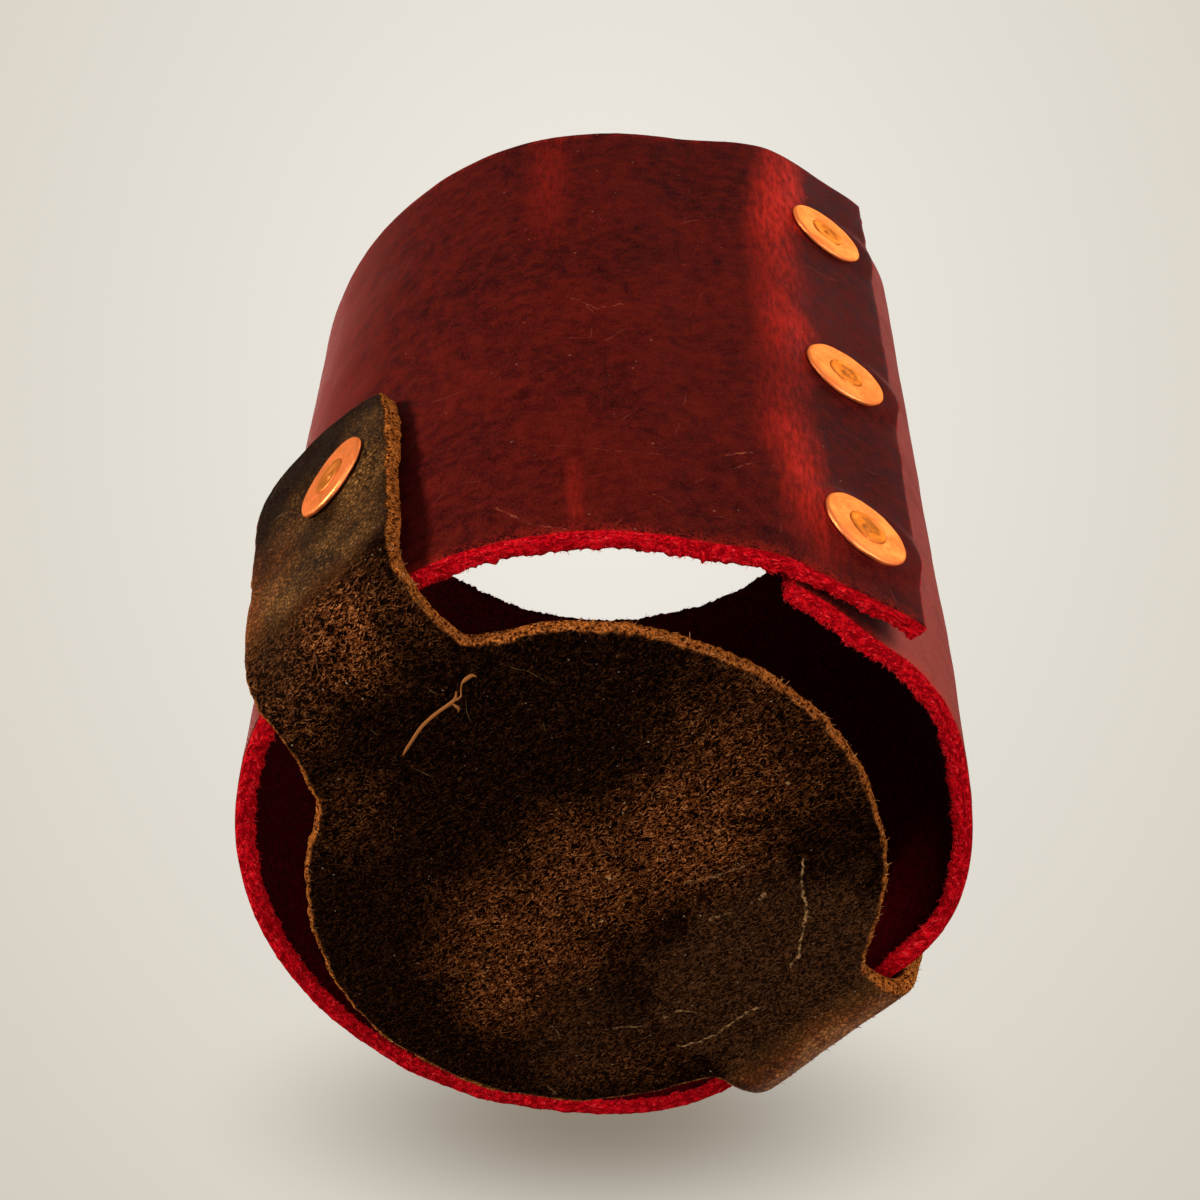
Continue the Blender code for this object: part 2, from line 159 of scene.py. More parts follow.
class Graph:
    """Builds a node tree, one node at a time."""

    def __init__(self, tree: NodeTree) -> None:
        """Keep the tree to build in."""
        self.tree = tree

    def add(
        self, kind: str, inputs: Mapping[str | int, Any] | None = None, **settings: Any
    ) -> Node:
        """Add a node.

        Args:
            kind: The node's type name.
            inputs: A value or an output socket for each named or numbered input.
            **settings: Properties of the node, such as its operation.

        Returns:
            The new node.
        """
        node = self.tree.nodes.new(kind)
        for name, value in settings.items():
            setattr(node, name, value)
        for key, value in (inputs or {}).items():
            self.feed(node.inputs[key], value)
        return node

    def feed(self, socket: NodeSocket, value: Any) -> None:
        """Link a socket to an output, or set its value."""
        if isinstance(value, NodeSocket):
            self.tree.links.new(value, socket)
        else:
            socket.default_value = value

    def math(self, operation: str, *values: Any, clamp: bool = False) -> NodeSocket:
        """A math node's result."""
        node = self.add("ShaderNodeMath", dict(enumerate(values)), operation=operation)
        node.use_clamp = clamp
        return node.outputs[0]

    def times(self, a: Any, b: Any, clamp: bool = False) -> NodeSocket:
        """Two numbers, multiplied."""
        return self.math("MULTIPLY", a, b, clamp=clamp)

    def scaled(self, a: Any, b: Any, c: Any, clamp: bool = False) -> NodeSocket:
        """A number times another, plus a third."""
        return self.math("MULTIPLY_ADD", a, b, c, clamp=clamp)

    def plus(self, a: Any, b: Any) -> NodeSocket:
        """Two numbers, added."""
        return self.math("ADD", a, b)

    def minus(self, a: Any, b: Any) -> NodeSocket:
        """A number less another."""
        return self.math("SUBTRACT", a, b)

    def over(self, a: Any, b: Any) -> NodeSocket:
        """A number divided by another."""
        return self.math("DIVIDE", a, b)

    def most(self, a: Any, b: Any) -> NodeSocket:
        """The larger of two numbers."""
        return self.math("MAXIMUM", a, b)

    def measure(self, operation: str, a: Any, b: Any) -> NodeSocket:
        """A vector math node's number."""
        return self.add("ShaderNodeVectorMath", {0: a, 1: b}, operation=operation).outputs["Value"]

    def vector(self, operation: str, *values: Any) -> NodeSocket:
        """A vector math node's vector result."""
        node = self.add("ShaderNodeVectorMath", dict(enumerate(values)), operation=operation)
        return node.outputs["Vector"]

    def scale(self, vector: Any, factor: Any) -> NodeSocket:
        """A vector times a number."""
        node = self.add("ShaderNodeVectorMath", {0: vector, "Scale": factor}, operation="SCALE")
        return node.outputs["Vector"]

    def combine(self, x: Any, y: Any, z: Any) -> NodeSocket:
        """A vector from three numbers."""
        return self.add("ShaderNodeCombineXYZ", {0: x, 1: y, 2: z}).outputs[0]

    def separate(self, vector: Any) -> tuple[NodeSocket, ...]:
        """The three numbers of a vector."""
        return tuple(self.add("ShaderNodeSeparateXYZ", {0: vector}).outputs)

    def blend(self, factor: Any, a: Any, b: Any, mode: str = "MIX") -> NodeSocket:
        """Two colours, mixed."""
        node = self.add("ShaderNodeMix", data_type="RGBA", blend_type=mode)
        self.feed(node.inputs[0], factor)
        self.feed(node.inputs[6], a)
        self.feed(node.inputs[7], b)
        return node.outputs[2]

    def between(self, factor: Any, a: Any, b: Any) -> NodeSocket:
        """Two numbers, mixed."""
        return self.add("ShaderNodeMix", {0: factor, 2: a, 3: b}, data_type="FLOAT").outputs[0]

    def spread(
        self, value: Any, low: Any, high: Any, to_low: Any = 0.0, to_high: Any = 1.0, smooth: bool = True
    ) -> NodeSocket:
        """A value from low to high, spread over to_low to to_high and held there."""
        inputs = {0: value, 1: low, 2: high, 3: to_low, 4: to_high}
        kind = "SMOOTHSTEP" if smooth else "LINEAR"
        return self.add("ShaderNodeMapRange", inputs, interpolation_type=kind).outputs[0]

    def noise(
        self, vector: Any, scale: Any, detail: float = 3.0, roughness: float = 0.5,
        distortion: float = 0.0,
    ) -> NodeSocket:
        """Noise from 0 to 1."""
        inputs = {
            "Vector": vector, "Scale": scale, "Detail": detail, "Roughness": roughness,
            "Distortion": distortion,
        }
        return self.add("ShaderNodeTexNoise", inputs).outputs[0]

    def cells(self, vector: Any, scale: Any, feature: str = "F1") -> Node:
        """A Voronoi texture."""
        return self.add("ShaderNodeTexVoronoi", {"Vector": vector, "Scale": scale}, feature=feature)

    def curve(self, value: Any, points: Sequence[tuple[float, float]]) -> NodeSocket:
        """A value from 0 to 1, turned into another one by a smooth curve through points."""
        node = self.add("ShaderNodeFloatCurve", {"Value": value})
        line = node.mapping.curves[0]
        for place, height in points[1:-1]:
            line.points.new(place, height)
        for point, (place, height) in ((line.points[0], points[0]), (line.points[-1], points[-1])):
            point.location = (place, height)
        node.mapping.update()
        return node.outputs[0]

    def attribute(self, name: str, output: str = "Fac") -> NodeSocket:
        """A mesh attribute, read in a material."""
        return self.add("ShaderNodeAttribute", attribute_name=name).outputs[output]


def new_group(
    name: str, kind: str, inputs: Sequence[tuple[str, str, Any]], outputs: Sequence[tuple[str, str]]
) -> tuple[NodeTree, Graph, Any, Any]:
    """Make a node group with named sockets.

    Args:
        name: The group's name.
        kind: ShaderNodeTree or GeometryNodeTree.
        inputs: Name, socket type and default of each input. A default of None is left alone.
        outputs: Name and socket type of each output.

    Returns:
        The tree, a graph on it, the sockets that it is given and those of its result.
    """
    tree = bpy.data.node_groups.new(name, kind)
    for label, socket_type, default in inputs:
        socket = tree.interface.new_socket(label, in_out="INPUT", socket_type=socket_type)
        if default is not None:
            socket.default_value = default
    for label, socket_type in outputs:
        tree.interface.new_socket(label, in_out="OUTPUT", socket_type=socket_type)
    graph = Graph(tree)
    return tree, graph, graph.add("NodeGroupInput").outputs, graph.add("NodeGroupOutput").inputs


FLOAT = "NodeSocketFloat"
INT = "NodeSocketInt"
VECTOR = "NodeSocketVector"
GEOMETRY = "NodeSocketGeometry"
MATERIAL = "NodeSocketMaterial"


class Effects:
    """Shader node groups that the finishes share. All read a vector in millimetres."""

    def __init__(self) -> None:
        """Build each group once."""
        self.mottle = self._mottle()
        self.grain = self._grain()
        self.fibrous = self._fibrous()
        self.scratches = self._scratches()
        self.specks = self._specks()
        self.segment = self._segment()

    @staticmethod
    def place(graph: Graph, group: NodeTree, **values: Any) -> Node:
        """Place a group in a material.

        Args:
            graph: The material's graph.
            group: The group.
            **values: Its inputs, with underscores for spaces.

        Returns:
            The group node.
        """
        node = graph.add("ShaderNodeGroup", node_tree=group)
        for name, value in values.items():
            graph.feed(node.inputs[name.replace("_", " ")], value)
        return node

    def lines(self, graph: Graph, blank: NodeSocket, scars: Sequence["Scar"]) -> Any:
        """How strongly scars mark a place, from 0 to 1.

        Args:
            graph: The material's graph.
            blank: Place on the flat blank, in millimetres.
            scars: The scars.

        Returns:
            The mask.
        """
        flat = graph.vector("MULTIPLY", blank, (1.0, 1.0, 0.0))
        warp = graph.add("ShaderNodeTexNoise", {"Vector": flat, "Scale": 0.9, "Detail": 3.0}).outputs[1]
        centred = graph.vector("SUBTRACT", warp, (0.5, 0.5, 0.5))
        bent = graph.vector("ADD", flat, graph.vector("MULTIPLY", centred, (0.9, 0.9, 0.0)))
        marked: Any = 0.0
        for scar in scars:
            for start, end in zip(scar.route, scar.route[1:]):
                mask = self.place(graph, self.segment, Vector=bent, Start=(*start, 0.0), End=(*end, 0.0),
                                  Width=scar.width).outputs[0]
                marked = graph.most(marked, graph.times(mask, scar.strength))
        broken = graph.spread(graph.noise(flat, 1.3, 3.0, 0.65), 0.42, 0.6, 0.08, 1.0)
        return graph.times(marked, broken, clamp=True)

    @staticmethod
    def _segment() -> NodeTree:
        """A thin line between two points, as a mask from 0 to 1."""
        inputs = (("Vector", VECTOR, None), ("Start", VECTOR, (0.0, 0.0, 0.0)),
                  ("End", VECTOR, (1.0, 0.0, 0.0)), ("Width", FLOAT, 0.1))
        tree, graph, given, result = new_group("segment", "ShaderNodeTree", inputs, (("Mask", FLOAT),))
        away = graph.vector("SUBTRACT", given["Vector"], given["Start"])
        run = graph.vector("SUBTRACT", given["End"], given["Start"])
        part, whole = [graph.measure("DOT_PRODUCT", first, run) for first in (away, run)]
        nearest = graph.scale(run, graph.math("DIVIDE", part, whole, clamp=True))
        gap = graph.measure("DISTANCE", away, nearest)
        gap = graph.over(gap, given["Width"])
        graph.feed(result["Mask"], graph.spread(gap, 0.5, 1.3, 1.0, 0.0))
        return tree

    @staticmethod
    def _mottle() -> NodeTree:
        """Cloudy variation at two sizes, from 0 to 1."""
        inputs = (("Vector", VECTOR, None), ("Size", FLOAT, 8.0), ("Fine Size", FLOAT, 1.0),
                  ("Fine Share", FLOAT, 0.35), ("Contrast", FLOAT, 1.5))
        tree, graph, given, result = new_group("mottle", "ShaderNodeTree", inputs, (("Fac", FLOAT),))
        wide = graph.noise(given["Vector"], graph.over(1.0, given["Size"]), 4.0, 0.6, 0.4)
        fine = graph.noise(given["Vector"], graph.over(1.0, given["Fine Size"]), 3.0, 0.65)
        both = graph.between(given["Fine Share"], wide, fine)
        centred = graph.times(graph.minus(both, 0.5), given["Contrast"])
        lifted = graph.scaled(centred, 2.0, 0.5, clamp=True)
        graph.feed(result[0], lifted)
        return tree

    @staticmethod
    def _grain() -> NodeTree:
        """Pebbled grain with hair pores, as a height and a crease mask."""
        inputs = (("Vector", VECTOR, None), ("Pebble Size", FLOAT, 0.7), ("Crease Depth", FLOAT, 0.6))
        outputs = (("Height", FLOAT), ("Creases", FLOAT))
        tree, graph, given, result = new_group("grain", "ShaderNodeTree", inputs, outputs)
        per_pebble = graph.over(1.0, given["Pebble Size"])
        bend = graph.noise(given["Vector"], per_pebble, 2.0)
        bent = graph.vector("ADD", given["Vector"], graph.combine(bend, bend, bend))
        cell = graph.add("ShaderNodeTexVoronoi", {"Vector": bent, "Scale": per_pebble},
                         feature="DISTANCE_TO_EDGE").outputs["Distance"]
        pebble = graph.spread(cell, 0.0, 0.32)
        pores = graph.cells(given["Vector"], graph.times(per_pebble, 1.7)).outputs["Distance"]
        pore = graph.spread(pores, 0.0, 0.16)
        fine = graph.noise(given["Vector"], graph.times(per_pebble, 4.0), 4.0, 0.7)
        height = graph.times(pebble, given["Crease Depth"])
        height = graph.plus(height, graph.times(pore, 0.5))
        height = graph.plus(height, graph.times(fine, 0.8))
        graph.feed(result["Height"], height)
        graph.feed(result["Creases"], graph.minus(1.0, graph.times(pebble, pore)))
        return tree

    @staticmethod
    def _fibrous() -> NodeTree:
        """Matted fibres, as a height and a tuft mask from 0 to 1."""
        inputs = (("Vector", VECTOR, None), ("Tuft Size", FLOAT, 0.5), ("Stretch", VECTOR, (1.0, 1.0, 1.0)))
        outputs = (("Height", FLOAT), ("Tufts", FLOAT))
        tree, graph, given, result = new_group("fibrous", "ShaderNodeTree", inputs, outputs)
        place = given["Vector"]
        per_tuft = graph.over(1.0, given["Tuft Size"])
        coarse = graph.times(per_tuft, 0.55)
        warp = graph.add("ShaderNodeTexNoise", {"Vector": place, "Scale": coarse, "Detail": 2.0}).outputs[1]
        reach = graph.times(given["Tuft Size"], 1.8)
        warp = graph.scale(graph.vector("SUBTRACT", warp, (0.5, 0.5, 0.5)), reach)
        bent = graph.vector("MULTIPLY", graph.vector("ADD", place, warp), given["Stretch"])
        ridge = graph.noise(bent, per_tuft, 2.0, 0.55)
        ridge = graph.math("ABSOLUTE", graph.minus(ridge, 0.5))
        strand = graph.spread(ridge, 0.0, 0.10, 1.0, 0.0)
        fine = graph.spread(graph.noise(bent, graph.times(per_tuft, 2.4), 3.0, 0.7), 0.34, 0.66)
        tufts = graph.times(strand, graph.scaled(fine, 0.6, 0.4))
        tufts = graph.scaled(fine, 0.25, graph.times(tufts, 0.75))
        graph.feed(result["Height"], graph.scaled(strand, 0.5, graph.times(fine, 0.5)))
        graph.feed(result["Tufts"], tufts)
        return tree

    @staticmethod
    def _scratches() -> NodeTree:
        """Sparse thin scratches, as a mask from 0 to 1."""
        inputs = (("Vector", VECTOR, None), ("Length", FLOAT, 9.0), ("Width", FLOAT, 0.05),
                  ("Share", FLOAT, 0.3))
        tree, graph, given, result = new_group("scratches", "ShaderNodeTree", inputs, (("Mask", FLOAT),))
        masks = []
        for turn, shift in ((0.35, 3.0), (-0.8, 17.0), (1.35, 31.0)):
            turned = graph.add("ShaderNodeMapping",
                               {"Vector": given["Vector"], "Location": (shift, shift, shift),
                                "Rotation": (turn, turn, turn)}).outputs[0]
            sway = graph.noise(turned, 0.12, 2.0)
            _, y, z = graph.separate(turned)
            line = graph.scaled(sway, 6.0, graph.plus(y, z))
            cell = graph.over(line, given["Length"])
            from_line = graph.math("ABSOLUTE", graph.minus(graph.math("FRACT", cell), 0.5))
            from_line = graph.times(from_line, given["Length"])
            thin = graph.spread(from_line, 0.0, given["Width"], 1.0, 0.0)
            there = graph.noise(turned, 0.22, 2.0)
            there = graph.spread(there, graph.minus(0.75, given["Share"]), 0.72)
            masks.append(graph.times(thin, there))
        first = graph.most(masks[0], masks[1])
        graph.feed(result[0], graph.most(first, masks[2]))
        return tree

    @staticmethod
    def _specks() -> NodeTree:
        """Specks of dust, as a mask from 0 to 1."""
        inputs = (("Vector", VECTOR, None), ("Spacing", FLOAT, 3.0), ("Size", FLOAT, 0.12),
                  ("Share", FLOAT, 0.3))
        tree, graph, given, result = new_group("specks", "ShaderNodeTree", inputs, (("Mask", FLOAT),))
        per_speck = graph.over(1.0, given["Spacing"])
        speck = graph.cells(given["Vector"], per_speck)
        chance, spread_by, _ = graph.separate(speck.outputs["Color"])
        away = graph.times(speck.outputs["Distance"], given["Spacing"])
        size = graph.times(given["Size"], graph.plus(0.4, spread_by))
        dot = graph.spread(away, graph.times(size, 0.5), size, 1.0, 0.0)
        chosen = graph.math("LESS_THAN", chance, given["Share"])
        graph.feed(result[0], graph.times(dot, chosen))
        return tree


class Finish:
    """A material with a Principled shader, and the graph to build its looks in."""

    def __init__(self, name: str) -> None:
        """Make the material."""
        self.material = bpy.data.materials.new(name)
        self.material.use_nodes = True
        self.graph = Graph(self.material.node_tree)
        self.shader = self.material.node_tree.nodes["Principled BSDF"]
        place = self.graph.add("ShaderNodeTexCoord").outputs["Object"]
        self.place = self.graph.scale(place, 1.0 / MM)

    def set(self, **values: Any) -> None:
        """Set or link the shader's inputs, with underscores for spaces."""
        for name, value in values.items():
            self.graph.feed(self.shader.inputs[name.replace("_", " ")], value)

    def relief(self, *heights: tuple[Any, float]) -> None:
        """Feed the shader's normal from bump heights.

        Args:
            *heights: A height from 0 to 1 and its depth in millimetres, one pair to a layer.
        """
        normal = None
        for height, depth in heights:
            bump = self.graph.add("ShaderNodeBump",
                                  {"Height": height, "Strength": 1.0, "Distance": depth * MM})
            if normal is not None:
                self.graph.feed(bump.inputs["Normal"], normal)
            normal = bump.outputs[0]
        self.graph.feed(self.shader.inputs["Normal"], normal)


@dataclass(frozen=True)
class PullUp:
    """A fold where the wax has moved and the red shows through. Sizes in millimetres.

    Attributes:
        route: Height and place along the strip of points on it, from its lower end up.
        strength: How much of the red shows at each of those points.
        width: Half its width.
    """

    route: Points
    strength: tuple[float, ...]
    width: float


@dataclass(frozen=True)
class Scuff:
    """A patch where the dark oil has worn off the nap. Sizes in millimetres on the flat blank.

    Attributes:
        along: Its centre along the strap, negative to the left.
        across: Its centre across the strap, negative to the front.
        length: Half its length.
        width: Half its width.
        turn: Degrees from the strap's length to its own.
        strength: How much lighter it is.
        soft: How wide its border is, as a share of its size.
    """

    along: float
    across: float
    length: float
    width: float
    turn: float
    strength: float
    soft: float = 0.9


@dataclass(frozen=True)
class Scar:
    """A pale scratch in the leather. Sizes in millimetres on the flat blank.

    Attributes:
        route: Places along and across the blank.
        width: Half its width.
        strength: How pale it is.
    """

    route: Points
    width: float
    strength: float


@dataclass(frozen=True)
class RedLeather:
    """Waxed oxblood leather: mottled grain side, red flesh side and raw edges."""

    deep: Colour = srgb(42, 5, 6)
    body: Colour = srgb(72, 12, 9)
    worn: Colour = srgb(108, 30, 20)
    pulled: Colour = srgb(204, 42, 28)
    flesh_deep: Colour = srgb(44, 2, 5)
    flesh: Colour = srgb(104, 8, 14)
    raw_deep: Colour = srgb(140, 4, 12)
    raw: Colour = srgb(206, 12, 24)
    raw_highlight: Colour = srgb(232, 70, 68)
    sheen: Colour = srgb(146, 66, 58)
    pale_band: Colour = srgb(154, 68, 58)
    dust: Colour = srgb(170, 116, 96)
    scratch: Colour = srgb(168, 84, 62)
    pull_ups: tuple[PullUp, ...] = ()
    scars: tuple[Scar, ...] = ()
    strip_height: float = 92.1
    pale_band_from: float = 9.0
    pale_band_to: float = 42.0

    def _pulled(
        self, graph: Graph, along: NodeSocket, up: NodeSocket, blank: NodeSocket
    ) -> NodeSocket:
        """How far the wax has moved, from 0 to 1.

        Args:
            graph: The material's graph.
            along: Place along the strip, in millimetres.
            up: Height on it.
            blank: Both, as a vector.

        Returns:
            The mask.
        """
        ragged = graph.noise(graph.vector("MULTIPLY", blank, (1.0, 0.30, 1.0)), 0.45, 4.0, 0.65)
        hairy = graph.noise(graph.vector("MULTIPLY", blank, (1.0, 0.16, 1.0)), 2.2, 3.0, 0.7)
        rise = graph.over(up, self.strip_height)
        pulled: Any = 0.0
        for fold in self.pull_ups:
            places = [place for _, place in fold.route]
            low, high = min(places) - 0.01, max(places) + 0.01
            line = [(height / self.strip_height, (place - low) / (high - low))
                    for height, place in fold.route]
            middle = graph.scaled(graph.curve(rise, line), high - low, low)
            middle = graph.scaled(graph.minus(ragged, 0.5), fold.width * 1.5, middle)
            away = graph.math("ABSOLUTE", graph.minus(along, middle))
            core = graph.spread(away, 0.0, fold.width * 1.5, 1.0, 0.0)
            shown = [(height / self.strip_height, value)
                     for (height, _), value in zip(fold.route, fold.strength)]
            pulled = graph.most(pulled, graph.times(core, graph.curve(rise, shown)))
        grown = graph.times(pulled, graph.spread(hairy, 0.32, 0.68, 0.35, 1.15))
        return graph.times(grown, graph.spread(ragged, 0.25, 0.6, 0.5, 1.0), clamp=True)

    def build(self, effects: Effects) -> Material:
        """Build the material.

        Args:
            effects: The shared node groups.

        Returns:
            The material.
        """
        finish = Finish("red_leather_worn")
        graph = finish.graph
        raw = graph.attribute(Mask.RAW.value)
        flesh = graph.attribute(Mask.FLESH.value)
        blank = graph.scale(graph.attribute(Mask.BLANK.value, "Vector"), 1.0 / MM)
        along, up, _ = graph.separate(blank)

        wide = effects.place(graph, effects.mottle, Vector=finish.place, Size=14.0, Fine_Size=2.2,
                             Fine_Share=0.4, Contrast=3.0).outputs[0]
        close = effects.place(graph, effects.mottle, Vector=finish.place, Size=1.6, Fine_Size=0.26,
                              Fine_Share=0.55, Contrast=3.2).outputs[0]
        darker = graph.times(wide, graph.spread(up, 50.0, 88.0, 1.0, 0.6))
        colour = graph.blend(darker, self.deep, self.body)
        colour = graph.blend(graph.times(close, 0.5), colour, self.worn)
        # A paler pinkish band on the strip just past the lap, with a ragged far border.
        uneven = graph.scaled(graph.minus(wide, 0.5), 16.0, along)
        in_pale_band = graph.times(graph.spread(along, self.pale_band_from, self.pale_band_from + 4.0),
                            graph.spread(uneven, self.pale_band_to - 20.0, self.pale_band_to, 1.0, 0.0))
        colour = graph.blend(graph.times(in_pale_band, graph.spread(wide, 0.0, 1.0, 0.5, 0.85)), colour, self.pale_band)
        colour = graph.blend(self._pulled(graph, along, up, blank), colour, self.pulled)

        rim = graph.spread(up, 0.3, 2.2, 0.16, 0.0)
        top_rim = graph.spread(up, self.strip_height - 2.0, self.strip_height, 0.0, 0.2)
        rim = graph.times(graph.most(rim, top_rim), graph.spread(close, 0.2, 0.8))
        colour = graph.blend(rim, colour, self.pulled)

        scratch = effects.place(graph, effects.scratches, Vector=finish.place, Length=13.0, Width=0.09,
                                Share=0.16).outputs[0]
        scratch = graph.most(graph.times(scratch, 0.4), effects.lines(graph, blank, self.scars))
        colour = graph.blend(scratch, colour, self.scratch)
        dust = effects.place(graph, effects.specks, Vector=finish.place, Spacing=1.5, Size=0.11,
                             Share=0.3).outputs[0]
        colour = graph.blend(graph.times(dust, 0.6), colour, self.dust)

        facing = graph.add("ShaderNodeLayerWeight", {"Blend": 0.5}).outputs["Facing"]
        grazing = graph.spread(facing, 0.68, 0.98, 0.0, 0.55)
        colour = graph.blend(grazing, colour, self.sheen)

        suede = effects.place(graph, effects.fibrous, Vector=finish.place, Tuft_Size=0.7)
        colour = graph.blend(flesh, colour, graph.blend(suede.outputs["Tufts"], self.flesh_deep, self.flesh))
        fibre = effects.place(graph, effects.fibrous, Vector=blank, Tuft_Size=0.42, Stretch=(0.28, 0.8, 0.8))
        # Painted light on the cut edge: darker red between its strands is painted shade, and the pale pink on
        # their tops is a painted highlight.
        cut = graph.blend(graph.spread(fibre.outputs["Tufts"], 0.05, 0.45), self.raw_deep, self.raw)
        cut = graph.blend(graph.spread(fibre.outputs["Tufts"], 0.68, 1.0, 0.0, 0.55), cut, self.raw_highlight)
        colour = graph.blend(raw, colour, cut)

        grain = effects.place(graph, effects.grain, Vector=finish.place, Pebble_Size=0.42, Crease_Depth=0.5)
        rugged = graph.most(raw, flesh)
        # Painted shade: the smooth grain's creases and pores are darkened towards black.
        crease_shade = graph.times(grain.outputs["Creases"], graph.scaled(rugged, -0.07, 0.07))
        colour = graph.blend(crease_shade, colour, BLACK)
        rough = graph.between(rugged, graph.spread(close, 0.0, 1.0, 0.46, 0.62), 0.92)
        finish.set(Base_Color=colour, Roughness=rough, Specular_IOR_Level=0.004)
        suede_height = graph.times(rugged, fibre.outputs["Height"])
        smooth_height = graph.times(graph.minus(1.0, rugged), grain.outputs["Height"])
        finish.relief((smooth_height, 0.035), (suede_height, 0.22), (close, 0.02))
        return finish.material


@dataclass(frozen=True)
class BrownLeather:
    """Oiled dark brown leather with a scuffed nap, smooth on the tabs, and orange-brown raw edges."""

    deep: Colour = srgb(6, 2, 1)
    body: Colour = srgb(34, 14, 6)
    scuffed: Colour = srgb(150, 78, 34)
    bright: Colour = srgb(214, 146, 84)
    ashen: Colour = srgb(124, 78, 46)
    olive: Colour = srgb(156, 104, 54)
    olive_deep: Colour = srgb(42, 24, 10)
    tan: Colour = srgb(176, 112, 60)
    raw_deep: Colour = srgb(76, 28, 6)
    raw: Colour = srgb(238, 134, 56)
    dust: Colour = srgb(186, 160, 126)
    scar: Colour = srgb(186, 138, 88)
    scuffs: tuple[Scuff, ...] = ()
    ashes: tuple[Scuff, ...] = ()
    scars: tuple[Scar, ...] = ()

    @staticmethod
    def _patches(
        graph: Graph, blank: NodeSocket, wander: NodeSocket, patches: Sequence[Scuff]
    ) -> Any:
        """How far patches reach, from 0 to 1.

        Args:
            graph: The material's graph.
            blank: Place on the flat blank, in millimetres.
            wander: What makes their borders ragged.
            patches: The patches.

        Returns:
            The mask.
        """
        along, across, _ = graph.separate(blank)
        reached: Any = 0.0
        for patch in patches:
            cosine = math.cos(math.radians(patch.turn))
            sine = math.sin(math.radians(patch.turn))
            x = graph.minus(along, patch.along)
            y = graph.minus(across, patch.across)
            own_x = graph.plus(graph.times(x, cosine / patch.length), graph.times(y, sine / patch.length))
            own_y = graph.minus(graph.times(y, cosine / patch.width), graph.times(x, sine / patch.width))
            away = graph.math("SQRT", graph.plus(graph.times(own_x, own_x), graph.times(own_y, own_y)))
            away = graph.plus(away, wander)
            shown = graph.spread(away, 1.0 - patch.soft, 1.0 + 0.35 * patch.soft, patch.strength, 0.0)
            reached = graph.most(reached, shown)
        return reached

    def build(self, effects: Effects, fibres: bool = False) -> Material:
        """Build the material.

        Args:
            effects: The shared node groups.
            fibres: True for the loose fibres of the nap and the edges.

        Returns:
            The material.
        """
        finish = Finish("brown_leather_fibre" if fibres else "brown_leather_worn")
        graph = finish.graph
        blank = graph.scale(graph.attribute(Mask.BLANK.value, "Vector"), 1.0 / MM)
        cloud = graph.noise(finish.place, 0.17, 5.0, 0.62)
        wander = graph.times(graph.minus(cloud, 0.5), 1.3)
        worn = self._patches(graph, blank, wander, self.scuffs)
        ashen = self._patches(graph, blank, wander, self.ashes)
        patchy = graph.noise(finish.place, 0.55, 4.0, 0.65)
        rubbed = graph.times(worn, graph.spread(patchy, 0.3, 0.65, 0.45, 1.15))
        worn = graph.times(rubbed, graph.scaled(ashen, -0.75, 1.0), clamp=True)
        raw = graph.attribute(Mask.RAW.value)
        nappy = effects.place(graph, effects.fibrous, Vector=blank, Tuft_Size=0.44, Stretch=(1.0, 0.4, 1.0))
        tufts = nappy.outputs["Tufts"]

        lit = graph.spread(tufts, 0.12, 0.8)
        base = graph.blend(lit, self.deep, self.body)
        light = graph.times(graph.scaled(worn, 0.95, 0.04), lit, clamp=True)
        base = graph.blend(light, base, self.scuffed)
        glint = graph.times(graph.spread(tufts, 0.6, 1.0), graph.scaled(worn, 0.7, 0.05), clamp=True)
        base = graph.blend(glint, base, self.bright)
        base = graph.blend(graph.times(ashen, graph.scaled(lit, 0.45, 0.05), clamp=True), base, self.ashen)
        if fibres:
            shade = graph.attribute(Mask.SHADE.value)
            tip = graph.times(shade, graph.scaled(worn, 1.1, 0.05), clamp=True)
            colour = graph.blend(tip, self.deep, self.scuffed)
            bright = graph.times(graph.spread(shade, 0.7, 1.0), graph.scaled(worn, 0.6, 0.04))
            colour = graph.blend(bright, colour, self.bright)
            colour = graph.blend(graph.times(ashen, graph.times(shade, 0.55)), colour, self.ashen)
            colour = graph.blend(effects.lines(graph, blank, self.scars), colour, self.scar)
            dust = effects.place(graph, effects.specks, Vector=finish.place, Spacing=1.1, Size=0.09,
                                 Share=0.5)
            colour = graph.blend(graph.times(dust.outputs[0], 0.75), colour, self.dust)
            colour = graph.blend(raw, colour, graph.blend(shade, self.raw_deep, self.bright))
            finish.set(Base_Color=colour, Roughness=0.9, Specular_IOR_Level=0.006)
            finish.relief((patchy, 0.02))
            return finish.material

        nap = graph.attribute(Mask.NAP.value)
        close = effects.place(graph, effects.mottle, Vector=finish.place, Size=5.0, Fine_Size=0.5,
                              Fine_Share=0.5, Contrast=2.6).outputs[0]
        smooth = graph.blend(close, self.olive_deep, graph.blend(ashen, self.body, self.olive))
        smooth = graph.blend(graph.times(rubbed, 0.8, clamp=True), smooth, self.scuffed)
        smooth = graph.blend(graph.spread(rubbed, 0.8, 1.3, 0.0, 0.9), smooth, self.tan)
        pitted = effects.place(graph, effects.grain, Vector=finish.place, Pebble_Size=0.6, Crease_Depth=0.7)
        # Painted shade: the smooth leather's grain creases and pores are darkened.
        smooth = graph.blend(graph.times(pitted.outputs["Creases"], 0.75), smooth, self.deep)
        colour = graph.blend(nap, smooth, base)

        colour = graph.blend(effects.lines(graph, blank, self.scars), colour, self.scar)
        scratch = effects.place(graph, effects.scratches, Vector=finish.place, Length=9.0, Width=0.1,
                                Share=0.12).outputs[0]
        colour = graph.blend(graph.times(scratch, 0.3), colour, self.scar)
        dust = effects.place(graph, effects.specks, Vector=finish.place, Spacing=1.1, Size=0.09,
                             Share=0.5).outputs[0]
        colour = graph.blend(graph.times(dust, 0.8), colour, self.dust)
